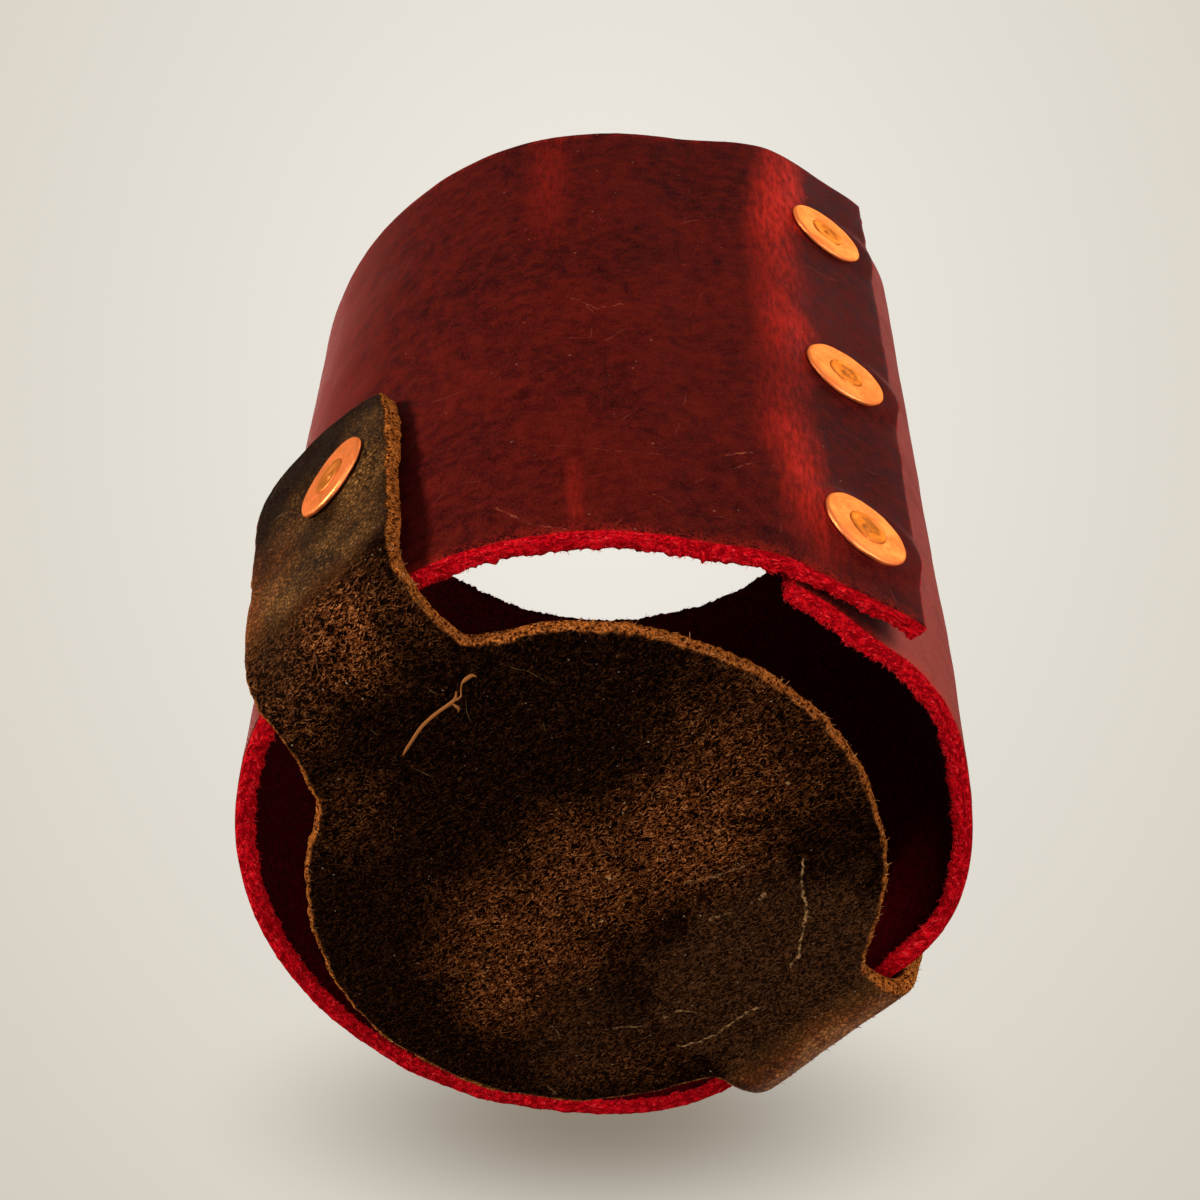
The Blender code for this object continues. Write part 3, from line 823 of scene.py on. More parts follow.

        # Painted shade: the raw edge is darker in its pits and between its fibres.
        pits = graph.spread(graph.cells(finish.place, 1.9).outputs["Distance"], 0.20, 0.46)
        fibre = effects.place(graph, effects.fibrous, Vector=finish.place, Tuft_Size=0.4)
        cut = graph.times(pits, graph.spread(fibre.outputs["Tufts"], 0.1, 0.7, 0.25, 1.0))
        _, _, depth = graph.separate(blank)
        oiled = graph.times(nap, graph.spread(depth, -0.6, 1.0, 0.0, 0.25))
        cut_colour = graph.blend(oiled, graph.blend(cut, self.raw_deep, self.raw), self.body)
        colour = graph.blend(raw, colour, cut_colour)

        rugged = graph.most(raw, nap)
        rough = graph.between(rugged, graph.spread(close, 0.0, 1.0, 0.46, 0.62), 0.92)
        nap_height = graph.times(rugged, nappy.outputs["Height"])
        pit_height = graph.times(raw, pits)
        smooth_height = graph.times(graph.minus(1.0, rugged), pitted.outputs["Height"])
        finish.set(Base_Color=colour, Roughness=rough, Specular_IOR_Level=0.006)
        finish.relief((smooth_height, 0.13), (nap_height, 0.3), (pit_height, 0.25))
        return finish.material


@dataclass(frozen=True)
class Fibre:
    """Loose fibres on a raw edge."""

    name: str
    dark: Colour
    light: Colour

    def build(self) -> Material:
        """Build the material from each fibre's own shade."""
        finish = Finish(self.name)
        shade = finish.graph.attribute(Mask.SHADE.value)
        colour = finish.graph.blend(shade, self.dark, self.light)
        finish.set(Base_Color=colour, Roughness=0.85, Specular_IOR_Level=0.1)
        finish.relief((finish.graph.noise(finish.place, 4.0), 0.02))
        return finish.material


@dataclass(frozen=True)
class Copper:
    """Bare copper, dressed by hammer."""

    name: str
    bright: Colour
    dull: Colour
    roughness: float = 0.4

    def build(self, effects: Effects) -> Material:
        """Build the material.

        Args:
            effects: The shared node groups.

        Returns:
            The material.
        """
        finish = Finish(self.name)
        graph = finish.graph
        tarnish = effects.place(graph, effects.mottle, Vector=finish.place, Size=2.6, Fine_Size=0.45,
                                Fine_Share=0.35, Contrast=1.6).outputs[0]
        colour = graph.blend(graph.times(tarnish, 0.6), self.bright, self.dull)
        specks = effects.place(graph, effects.specks, Vector=finish.place, Spacing=1.5, Size=0.14,
                               Share=0.22).outputs[0]
        colour = graph.blend(graph.times(specks, 0.85), colour, srgb(150, 74, 34))
        rough = graph.spread(tarnish, 0.0, 1.0, self.roughness - 0.08, self.roughness + 0.12)
        marks = graph.noise(finish.place, 1.1, 2.0)
        brushed = effects.place(graph, effects.scratches, Vector=finish.place, Length=0.8, Width=0.04,
                                Share=0.5).outputs[0]
        finish.set(Base_Color=colour, Roughness=rough, Metallic=1.0, Specular_Tint=srgb(255, 200, 166))
        finish.relief((marks, 0.05), (brushed, 0.008))
        return finish.material


class Outline:
    """The cut edge of a flat blank: points round it and the way out at each."""

    def __init__(self, points: Array) -> None:
        """Keep the points, run counter-clockwise, and index them.

        Args:
            points: Points of the closed outline, one to a row.
        """
        ahead = np.roll(points, -1, axis=0) - np.roll(points, 1, axis=0)
        ahead /= np.maximum(np.linalg.norm(ahead, axis=1, keepdims=True), 1e-12)
        self.out = np.stack([ahead[:, 1], -ahead[:, 0]], axis=1)
        self.tree = KDTree(len(points))
        for index, point in enumerate(points):
            self.tree.insert((point[0], point[1], 0.0), index)
        self.tree.balance()

    def measure(self, flat: Array) -> tuple[Array, Array]:
        """Distance to the edge and the way out, for points of the blank.

        Args:
            flat: Points of the blank, one to a row.

        Returns:
            The distances, and the ways out.
        """
        away = np.empty(len(flat))
        out = np.empty((len(flat), 2))
        for index, point in enumerate(flat):
            _, nearest, distance = self.tree.find((point[0], point[1], 0.0))
            away[index] = distance
            out[index] = self.out[nearest]
        return away, out


@dataclass(frozen=True)
class Seat:
    """Where a head or a burr presses into the leather.

    Attributes:
        along: Place along the blank.
        across: Place across the blank.
        side: 1 on the grain side, -1 on the flesh side.
        radius: Radius of the pressed place.
        floor: How far its floor stands above the leather's nominal surface, or below it where negative.
        bend: Radius to which the blank is rolled there, or 0 where it stays flat.
        slopes: How the seat tips, as a rise for each step along and across the blank.
    """

    along: float
    across: float
    side: int
    radius: float
    floor: float
    bend: float = 0.0
    slopes: tuple[float, float] = (0.0, 0.0)

    def press(self, along: Array, across: Array, thickness: Array, half: float) -> Array:
        """Thickness coordinate of the blank's points once the seat is pressed.

        Args:
            along: Places along the blank.
            across: Places across it.
            thickness: Places through it, above 0 on the grain side.
            half: Half the leather's thickness.

        Returns:
            The new places through it.
        """
        x, y = along - self.along, across - self.across
        pressed = 1.0 - smooth_step((np.hypot(x, y) / self.radius - 1.0) / 0.5)
        pressed = pressed * (np.sign(thickness) == self.side)
        floor = self.side * (half + self.floor) + self.slopes[0] * x + self.slopes[1] * y
        floor = floor + (x**2 / (2.0 * self.bend) if self.bend else 0.0)
        return thickness + (floor - thickness) * pressed


class FlatBlank:
    """A blank of leather before it is bent: a closed slab, refined where its detail is fine."""

    WALL_LAYERS = 2

    def __init__(self, name: str, rows: Array, thickness: float) -> None:
        """Build the slab from a grid of flat points.

        Args:
            name: Name for the mesh.
            rows: Flat points, by place along the blank and place across it.
            thickness: The leather's thickness.
        """
        self.name = name
        self.thickness = thickness
        self.bm = bmesh.new()
        half = thickness / 2.0
        grain = [[self.bm.verts.new((x, y, half)) for x, y in row] for row in rows]
        flesh = [[self.bm.verts.new((x, y, -half)) for x, y in row] for row in rows]
        for i, j in itertools.product(range(len(rows) - 1), range(len(rows[0]) - 1)):
            self.bm.faces.new((grain[i][j], grain[i + 1][j], grain[i + 1][j + 1], grain[i][j + 1]))
            self.bm.faces.new((flesh[i][j], flesh[i][j + 1], flesh[i + 1][j + 1], flesh[i + 1][j]))
        self._close(self._loop(grain), self._loop(flesh))

    @staticmethod
    def _loop(grid: list[Ring]) -> Ring:
        """The outer loop of a grid, counter-clockwise."""
        first = [row[0] for row in grid]
        last = [row[-1] for row in grid]
        return first + grid[-1][1:-1] + last[::-1] + grid[0][-2:0:-1]

    def _close(self, top: Ring, bottom: Ring) -> None:
        """Join the two faces with a wall of several layers."""
        layers = [top]
        for layer in range(1, self.WALL_LAYERS):
            share = layer / self.WALL_LAYERS
            layers.append([self.bm.verts.new(a.co.lerp(b.co, share)) for a, b in zip(top, bottom)])
        layers.append(bottom)
        count = len(top)
        for upper, lower in zip(layers, layers[1:]):
            for index in range(count):
                after = (index + 1) % count
                self.bm.faces.new((upper[index], lower[index], lower[after], upper[after]))

    def refine(self, wanted: Any, cuts: int) -> None:
        """Cut up the edges that are wanted.

        Args:
            wanted: A function of an edge's middle that says whether to cut it.
            cuts: Cuts in each edge.
        """
        edges = [edge for edge in self.bm.edges if wanted((edge.verts[0].co + edge.verts[1].co) / 2.0)]
        bmesh.ops.subdivide_edges(self.bm, edges=edges, cuts=cuts, use_grid_fill=True)

    def finish(self) -> tuple[Mesh, Array]:
        """Turn the slab into a mesh.

        Returns:
            The mesh and its points, one to a row.
        """
        bmesh.ops.remove_doubles(self.bm, verts=self.bm.verts, dist=1e-7)
        bmesh.ops.recalc_face_normals(self.bm, faces=self.bm.faces)
        mesh = bpy.data.meshes.new(self.name)
        self.bm.to_mesh(mesh)
        self.bm.free()
        points = np.empty(len(mesh.vertices) * 3)
        mesh.vertices.foreach_get("co", points)
        return mesh, points.reshape(-1, 3)


def store(mesh: Mesh, mask: Mask, values: Array) -> None:
    """Keep a number or a vector for each point of a mesh."""
    kind = "FLOAT_VECTOR" if values.ndim == 2 else "FLOAT"
    attribute = mesh.attributes.new(mask.value, kind, "POINT")
    attribute.data.foreach_set("vector" if values.ndim == 2 else "value", values.astype(np.float32).ravel())


def graded(start: float, end: float, first: float, step: float) -> Array:
    """Places from start to end, close together near both ends.

    Args:
        start: First place.
        end: Last place.
        first: Gap beside each end.
        step: Gap in the middle.

    Returns:
        The places.
    """
    gaps = [first]
    while gaps[-1] * 1.5 < step:
        gaps.append(gaps[-1] * 1.5)
    near = np.cumsum(gaps)
    middle = end - start - 2.0 * near[-1]
    count = max(int(round(middle / step)), 1)
    inner = start + near[-1] + middle * np.arange(count + 1) / count
    return np.concatenate([[start], start + near[:-1], inner, end - near[:-1][::-1], [end]])


def add_object(name: str, data: Any) -> Object:
    """Put a new object into the scene."""
    thing = bpy.data.objects.new(name, data)
    bpy.context.scene.collection.objects.link(thing)
    return thing


def evaluated(thing: Object, name: str) -> Object:
    """A plain mesh object of what an object's modifiers make. The first object is removed."""
    depsgraph = bpy.context.evaluated_depsgraph_get()
    mesh = bpy.data.meshes.new_from_object(thing.evaluated_get(depsgraph))
    mesh.name = name
    made = add_object(name, mesh)
    bpy.data.objects.remove(thing)
    return made


def with_nodes(
    mesh: Mesh, name: str, tree: NodeTree, values: Mapping[str, Any]
) -> Object:
    """Run a mesh through a Geometry Nodes tree.

    Args:
        mesh: The mesh to start from.
        name: Name of the new object.
        tree: The tree.
        values: Its inputs, by name.

    Returns:
        An object with the tree's result as a plain mesh.
    """
    thing = add_object(name + "_start", mesh)
    modifier = thing.modifiers.new(tree.name, "NODES")
    modifier.node_group = tree
    sockets = {item.name: item.identifier for item in tree.interface.items_tree if item.in_out == "INPUT"}
    for label, value in values.items():
        modifier[sockets[label]] = value
    return evaluated(thing, name)


class Trees:
    """The Geometry Nodes trees."""

    def __init__(self) -> None:
        """Build each tree once."""
        self.roll = self._roll()
        self.turn = self._turn()
        self.fibres = self._fibres()

    @staticmethod
    def _end(graph: Graph, geometry: Any, given: Any, result: Any) -> None:
        """Close a tree: real geometry, smooth, with its material."""
        real = graph.add("GeometryNodeRealizeInstances", {0: geometry}).outputs[0]
        smooth = graph.add("GeometryNodeSetShadeSmooth", {0: real}).outputs[0]
        dressed = graph.add("GeometryNodeSetMaterial", {0: smooth, 2: given["Material"]}).outputs[0]
        graph.feed(result[0], dressed)

    @classmethod
    def _roll(cls) -> NodeTree:
        """Roll a flat strip up about the Z axis, at each point's own wall radius."""
        inputs = (("Geometry", GEOMETRY, None), ("Start Azimuth", FLOAT, 0.0), ("Turn Per Metre", FLOAT, 1.0),
                  ("Bottom", FLOAT, 0.0), ("Material", MATERIAL, None))
        tree, graph, given, result = new_group("roll_strip", "GeometryNodeTree", inputs,
                                               (("Geometry", GEOMETRY),))
        along, up, through = graph.separate(graph.add("GeometryNodeInputPosition").outputs[0])
        wall = graph.add("GeometryNodeInputNamedAttribute", {"Name": Mask.WALL.value},
                         data_type="FLOAT").outputs[0]
        azimuth = graph.scaled(along, given["Turn Per Metre"], given["Start Azimuth"])
        radius = graph.plus(wall, through)
        place = graph.combine(graph.times(radius, graph.math("COSINE", azimuth)),
                              graph.times(radius, graph.math("SINE", azimuth)),
                              graph.plus(up, given["Bottom"]))
        rolled = graph.add("GeometryNodeSetPosition", {0: given[0], "Position": place}).outputs[0]
        cls._end(graph, rolled, given, result)
        return tree

    @classmethod
    def _turn(cls) -> NodeTree:
        """Turn a profile about the Z axis, then dent it as a hammer does."""
        inputs = (("Geometry", GEOMETRY, None), ("Steps Round", INT, 64), ("Steps Along", INT, 48),
                  ("Seed", FLOAT, 0.0), ("Dent Depth", FLOAT, 0.0), ("Dent Size", FLOAT, 0.002),
                  ("Out Of Round", FLOAT, 0.0), ("Material", MATERIAL, None))
        tree, graph, given, result = new_group("turn_copper", "GeometryNodeTree", inputs,
                                               (("Geometry", GEOMETRY),))
        profile = graph.add("GeometryNodeMeshToCurve", {0: given[0]}).outputs[0]
        grid = graph.add("GeometryNodeMeshGrid",
                         {0: 1.0, 1: 1.0, "Vertices X": given["Steps Along"],
                          "Vertices Y": given["Steps Round"]})
        share, round_share, _ = graph.separate(graph.add("GeometryNodeInputPosition").outputs[0])
        sample = graph.add("GeometryNodeSampleCurve", {"Curves": profile, "Factor": graph.plus(share, 0.5)},
                           mode="FACTOR")
        radius, _, height = graph.separate(sample.outputs["Position"])
        angle = graph.times(round_share, math.tau)
        x = graph.times(radius, graph.math("COSINE", angle))
        y = graph.times(radius, graph.math("SINE", angle))
        turned = graph.add("GeometryNodeSetPosition",
                           {0: grid.outputs[0], "Position": graph.combine(x, y, height)})
        closed = graph.add("GeometryNodeMergeByDistance", {0: turned.outputs[0], "Distance": 2e-6}).outputs[0]
        here = graph.add("GeometryNodeInputPosition").outputs[0]
        per_dent = graph.over(1.0, given["Dent Size"])
        dents = graph.add("ShaderNodeTexNoise",
                          {"Vector": here, "W": given["Seed"], "Scale": per_dent, "Detail": 2.0},
                          noise_dimensions="4D").outputs[0]
        dent = graph.times(graph.minus(dents, 0.5), given["Dent Depth"])
        wide = graph.add("ShaderNodeTexNoise",
                         {"Vector": here, "W": given["Seed"], "Scale": graph.times(per_dent, 0.45),
                          "Detail": 1.0}, noise_dimensions="4D").outputs[0]
        wide = graph.times(graph.minus(wide, 0.5), given["Out Of Round"])
        away_x, away_y, _ = graph.separate(here)
        sideways = graph.vector("NORMALIZE", graph.combine(away_x, away_y, 0.0))
        offset = graph.vector("ADD", graph.combine(0.0, 0.0, dent), graph.scale(sideways, wide))
        dented = graph.add("GeometryNodeSetPosition", {0: closed, "Offset": offset}).outputs[0]
        cls._end(graph, dented, given, result)
        return tree

    @classmethod
    def _fibres(cls) -> NodeTree:
        """Grow bent, tapering fibres on a surface, thicker where its mask is high."""
        inputs = (("Geometry", GEOMETRY, None), ("Density", FLOAT, 1e6), ("Length", FLOAT, 0.0006),
                  ("Least Length", FLOAT, 0.0002), ("Radius", FLOAT, 0.00004), ("Rise", FLOAT, 1.0),
                  ("Lean", FLOAT, 0.9), ("Comb", VECTOR, (0.0, 0.0, 0.0)), ("Seed", INT, 0),
                  ("Material", MATERIAL, None))
        tree, graph, given, result = new_group("grow_fibres", "GeometryNodeTree", inputs,
                                               (("Geometry", GEOMETRY),))
        mask = graph.add("GeometryNodeInputNamedAttribute", {"Name": Mask.FUZZ.value},
                         data_type="FLOAT").outputs[0]
        scattered = graph.add("GeometryNodeDistributePointsOnFaces",
                              {"Mesh": given[0], "Density": graph.times(mask, given["Density"]),
                               "Seed": given["Seed"]})

        def random(low: Any, high: Any, shift: int) -> NodeSocket:
            """A random number for each point."""
            seed = graph.plus(given["Seed"], float(shift))
            return graph.add("FunctionNodeRandomValue", {2: low, 3: high, "Seed": seed},
                             data_type="FLOAT").outputs[1]

        def random_vector(low: Any, high: Any, shift: int) -> NodeSocket:
            """A random vector for each point."""
            seed = graph.plus(given["Seed"], float(shift))
            inputs = {0: low, 1: high, "Seed": seed}
            return graph.add("FunctionNodeRandomValue", inputs, data_type="FLOAT_VECTOR").outputs[0]

        lean = graph.scale(random_vector((-1.0, -1.0, -1.0), (1.0, 1.0, 1.0), 1), given["Lean"])
        risen = graph.scale(scattered.outputs["Normal"], given["Rise"])
        heading = graph.vector("ADD", graph.vector("ADD", risen, lean), given["Comb"])
        aligned = graph.add("FunctionNodeAlignRotationToVector", {"Vector": heading}, axis="Z").outputs[0]
        spin = graph.add("FunctionNodeEulerToRotation",
                         {0: graph.combine(0.0, 0.0, random(0.0, math.tau, 2))})
        turned = graph.add("FunctionNodeRotateRotation", {0: aligned, 1: spin.outputs[0]},
                           rotation_space="LOCAL")
        length = random(given["Least Length"], given["Length"], 3)
        fatness = graph.times(given["Radius"], random(0.6, 1.5, 4))
        bend = graph.add("GeometryNodeCurveQuadraticBezier",
                         {0: 2, 1: (0.0, 0.0, -0.12), 2: (0.06, 0.0, 0.62), 3: (0.55, 0.12, 0.86)}).outputs[0]
        taper = graph.spread(graph.add("GeometryNodeSplineParameter").outputs[0], 0.0, 1.0, 1.0, 0.25,
                             smooth=False)
        ring = graph.add("GeometryNodeCurvePrimitiveCircle", {0: 3, 4: 1.0}).outputs[0]
        body = graph.add("GeometryNodeCurveToMesh",
                         {0: bend, 1: ring, "Scale": graph.times(taper, 0.075), "Fill Caps": True}).outputs[0]
        thick = graph.over(fatness, 0.075)
        size = graph.combine(graph.most(thick, graph.times(length, 0.35)), thick, length)
        placed = graph.add("GeometryNodeInstanceOnPoints",
                           {0: scattered.outputs[0], "Instance": body, "Rotation": turned.outputs[0],
                            "Scale": size}).outputs[0]
        shaded = graph.add("GeometryNodeStoreNamedAttribute",
                           {0: placed, "Name": Mask.SHADE.value, "Value": random(0.0, 1.0, 5)},
                           data_type="FLOAT", domain="INSTANCE").outputs[0]
        cls._end(graph, shaded, given, result)
        return tree


@dataclass
class Shop:
    """What every maker in this script needs: the shared effects, trees and a record of pieces."""

    effects: Effects
    trees: Trees

    def hand_over(self, piece: Object, slot: Slot, *nodes: str) -> Object:
        """Fit a finished piece to the frame.

        Args:
            piece: The piece.
            slot: Not used.
            *nodes: CAD nodes that it stands for.

        Returns:
            The piece.
        """
        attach(piece, ROOT)
        if nodes:
            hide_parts(*nodes)
        triangles = sum(len(face.vertices) - 2 for face in piece.data.polygons)
        LOG.info("%s: %d triangles, stands for %s", piece.name, triangles, ", ".join(nodes) or "nothing")
        return piece


@dataclass
class Sleeve:
    """The red sleeve: one strip, rolled up and lapped on itself. Lengths in metres, angles in radians."""

    thickness: float = 1.9 * MM
    outer_radius: float = 36.2 * MM
    lap_azimuth: float = math.radians(-95.5)
    inner_reach: float = math.radians(10.0)
    end_lift: float = 0.75 * MM
    outer_reach: float = math.radians(9.4)
    lap_inset: float = 0.43 * MM
    lap_tuck: float = 0.63 * MM
    outer_tuck: float = 0.35 * MM
    lap_step_start: float = math.radians(2.5)
    lap_step_end: float = math.radians(15.5)
    lap_rise: float = math.radians(18.0)
    free_end_lift: float = 0.55 * MM
    free_end_top_lift: float = 0.85 * MM
    free_end_lift_start: float = math.radians(-2.0)
    shoulder_height: float = 1.0 * MM
    shoulder_bottom_share: float = 0.45
    shoulder_turn: float = math.radians(23.0)
    shoulder_wave: float = math.radians(50.0)
    shoulder_fade: float = math.radians(18.0)
    lap_flare: float = 1.9 * MM
    lap_flare_spread: float = math.radians(28.0)
    lap_flare_covered_spread: float = math.radians(20.0)
    left_squeeze: float = 0.5 * MM
    right_squeeze: float = 3.6 * MM
    squeeze_top: float = 15.0 * MM
    squeeze_softness: float = 0.8
    clearance: float = 0.3 * MM
    cell_along: float = 1.1 * MM
    cell_up: float = 1.4 * MM
    edge_cell: float = 0.7 * MM
    seat_reach: float = 6.6 * MM

    def __post_init__(self) -> None:
        """Work out the strip's flat size and take its height from the frame."""
        low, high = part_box("sleeve")
        self.bottom, self.top = low.z, high.z
        self.height = self.top - self.bottom
        self.mid_radius = self.outer_radius - self.thickness / 2.0
        self.start = self.lap_azimuth - self.inner_reach
        self.sweep = math.tau + self.inner_reach + self.outer_reach
        self.length = self.mid_radius * self.sweep

    def covered_offset(self, turn: Array, low: Array, tuck: Array | float) -> Array:
        """How far the single or covered wall lies off the round wall.

        Args:
            turn: Turns from the rivets.
            low: 1 at the bottom edge, 0 above it.
            tuck: How far the wall is drawn in at the bottom edge, inside the lap.

        Returns:
            The offsets.
        """
        swell = turn - self.shoulder_turn
        height = self.shoulder_height * (1.0 - (1.0 - self.shoulder_bottom_share) * low)
        wave = np.cos(math.tau * swell / self.shoulder_wave) * np.exp(-((swell / self.shoulder_fade) ** 2))
        step = (turn - self.lap_step_start) / (self.lap_step_end - self.lap_step_start)
        return height * wave - (self.lap_inset + tuck * low) * (1.0 - smooth_step(step))

    def outer_offset(self, turn: Array, rise: Array, low: Array) -> Array:
        """How far the lapped outer wall lies off the round wall.

        Args:
            turn: Turns from the rivets.
            rise: 0 at the bottom, 1 at the top.
            low: 1 at the bottom edge, 0 above it.

        Returns:
            The offsets.
        """
        tuck = self.outer_tuck * (1.0 - smooth_step(1.0 + turn / self.inner_reach))
        under = self.covered_offset(np.maximum(turn, -self.inner_reach), low, tuck)
        climb = smooth_step((turn + self.inner_reach + self.lap_rise) / self.lap_rise)
        lift = self.free_end_lift + (self.free_end_top_lift - self.free_end_lift) * rise
        spring = (turn - self.free_end_lift_start) / (self.outer_reach - self.free_end_lift_start)
        return climb * (under + self.thickness + self.clearance) + lift * smooth_step(spring)

    def wall_radius(self, azimuth: Array, height: Array) -> Array:
        """Radius at the middle of the leather.

        Args:
            azimuth: Azimuths, running on past a full turn at the free end.
            height: Heights above the base.

        Returns:
            The radii.
        """
        rise = (height - self.bottom) / self.height
        turn = azimuth - self.lap_azimuth
        late = turn >= math.pi
        turn = np.where(late, turn - math.tau, turn)
        low = np.clip((self.squeeze_top - height) / (self.squeeze_top - self.bottom), 0.0, 1.0)
        covered = self.covered_offset(turn, low, self.lap_tuck)
        offset = np.where(late, self.outer_offset(turn, rise, low), covered)
        spread = np.where(turn > 0.0, self.lap_flare_spread, self.lap_flare_covered_spread)
        flare = self.lap_flare * rise * np.exp(-((turn / spread) ** 2))
        radius = self.mid_radius + offset + flare
        squeeze = np.where(np.cos(azimuth) > 0.0, self.right_squeeze, self.left_squeeze) * low
        flat = (self.mid_radius - squeeze) / np.maximum(np.abs(np.cos(azimuth)), 0.5)
        width = np.maximum(self.squeeze_softness * squeeze, 1e-9)
        near = np.maximum(width - np.abs(radius - flat), 0.0) / width
        squeezed = np.minimum(radius, flat) - near * near * width / 4.0
        return np.where(squeeze > 0.0, squeezed, radius)

    def along(self, azimuth: float) -> float:
        """Place along the flat strip of an azimuth that runs on past a full turn."""
        return (azimuth - self.start) / self.sweep * self.length

    def seats(self, fittings: Sequence["Fitting"]) -> list[Seat]:
        """The seats that heads and burrs press into the strip."""
        seats = []
        for fitting in fittings:
            up = fitting.height - self.bottom
            azimuth = fitting.azimuth
            if fitting.on_lap:
                outer = self.along(azimuth + math.tau)
                seats.append(Seat(outer, up, 1, fitting.burr_radius, fitting.lift + 0.03 * MM,
                                  self.outer_radius, (math.tan(fitting.tip), 0.0)))
            turn = azimuth if fitting.on_lap or azimuth > self.start else azimuth + math.tau
            inner = self.along(turn)
            seats.append(Seat(inner, up, -1, fitting.head_radius + 0.1 * MM, -0.45 * MM, self.outer_radius))
        return seats

    def relief(self, flat: Array, away: Array, out: Array, seats: Sequence[Seat]) -> Array:
        """Points of the flat strip with its surface relief and ragged edges.

        Args:
            flat: Points of the plain strip.
            away: Their distances from the cut edge.
            out: The way out over that edge.
            seats: Where heads and burrs press.

        Returns:
            The new points.
        """
        half = self.thickness / 2.0
        side = np.sign(flat[:, 2])
        through = flat[:, 2].copy()
        on_face = np.abs(np.abs(through) - half) < TOUCHING
        in_wall = away < TOUCHING
        layer = through / half
        edge = np.clip(1.0 - away / (0.55 * MM), 0.0, 1.0)

        swell = 0.09 * MM * fractal_noise(flat, 16.0 * MM, 3) + 0.03 * MM * fractal_noise(flat, 3.0 * MM, 5)
        inner_swell = 0.10 * MM * fractal_noise(flat, 2.2 * MM, 9) - 0.05 * MM
        through += np.where(on_face, np.where(side > 0, swell, inner_swell), 0.0)
        through -= np.where(side > 0, 0.14 * MM * edge**2, 0.0)
        ragged = np.abs(fractal_noise(flat, 0.9 * MM, 21)) + 0.6 * np.abs(fractal_noise(flat, 0.4 * MM, 25))
        through -= np.where(side < 0, 0.32 * MM * (ragged - 0.3) * edge, 0.0)
        covered_end = self.along(self.lap_azimuth - self.inner_reach + math.tau)
        lap = np.clip((flat[:, 0] - covered_end) / (2.0 * MM), 0.0, 1.0)
        through += np.where(side < 0, 0.30 * MM * lap * edge, 0.0)
        pinch = np.exp(-(((flat[:, 0] - self.along(math.radians(-23.0))) / (3.6 * MM)) ** 2))
        pinch = pinch * np.exp(-flat[:, 1] / (2.5 * MM))
        through -= np.where(side < 0, 0.7 * MM * pinch, 0.0)

        cells = 0.07 * MM * fractal_noise(flat, 1.1 * MM, 31) + 0.06 * MM * fractal_noise(flat, 0.5 * MM, 37)
        furrows = 0.07 * MM * np.abs(lattice_noise(flat * (1.0, 1.0, 2.4), 0.8 * MM, 39))
        wander = 0.12 * MM * fractal_noise(flat * (1.0, 1.0, 0.0), 7.0 * MM, 41)
        crown = 0.12 * MM * (1.0 - layer**2)
        near = np.clip(1.0 - away / (2.0 * MM), 0.0, 1.0)
        push = np.where(in_wall, cells - furrows + crown, 0.0) + wander * near
        moved = flat.copy()
        moved[:, :2] += out * push[:, None]
        moved[:, 1] -= 0.5 * MM * pinch
        stiff = self.along(self.lap_azimuth + math.tau) - 3.0 * MM
        lifted = smooth_step((flat[:, 0] - stiff) / (self.length - stiff))
        through += self.end_lift * lifted * (1.0 - 0.6 * smooth_step((flat[:, 1] - 45.0 * MM) / (45.0 * MM)))
        for seat in seats:
            through = seat.press(flat[:, 0], flat[:, 1], through, half)
        moved[:, 2] = through
        return moved

    def build(self, shop: Shop, material: Material, fittings: Sequence["Fitting"]) -> Object:
        """Cut the strip, give it its relief and roll it up.

        Args:
            shop: Shared effects and trees.
            material: Its finish.
            fittings: The rivets that go through it.

        Returns:
            The sleeve.
        """
        xs = graded(0.0, self.length, self.edge_cell, self.cell_along)
        ys = graded(0.0, self.height, self.edge_cell, self.cell_up)
        rows = np.stack(np.meshgrid(xs, ys, indexing="ij"), axis=2)
        blank = FlatBlank("sleeve_strip", rows, self.thickness)
        seats = self.seats(fittings)
        band = self.edge_cell * 1.2

        def at_edge(place: Vector) -> bool:
            """Whether a place is beside the strip's cut edge."""
            return min(place.x, self.length - place.x, place.y, self.height - place.y) < band

        def at_seat(place: Vector) -> bool:
            """Whether a place is on a seat or its lip."""
            for seat in seats:
                gap = math.hypot(place.x - seat.along, place.y - seat.across)
                if place.z * seat.side > 0.0 and gap < self.seat_reach:
                    return True
            return False

        blank.refine(lambda place: at_edge(place) or at_seat(place), 3)
        mesh, flat = blank.finish()
        edge_x = np.minimum(flat[:, 0], self.length - flat[:, 0])
        edge_y = np.minimum(flat[:, 1], self.height - flat[:, 1])
        away = np.minimum(edge_x, edge_y)
        out = np.zeros((len(flat), 2))
        by_end = edge_x < edge_y
        out[:, 0] = np.where(by_end, np.sign(flat[:, 0] - self.length / 2.0), 0.0)
        out[:, 1] = np.where(by_end, 0.0, np.sign(flat[:, 1] - self.height / 2.0))

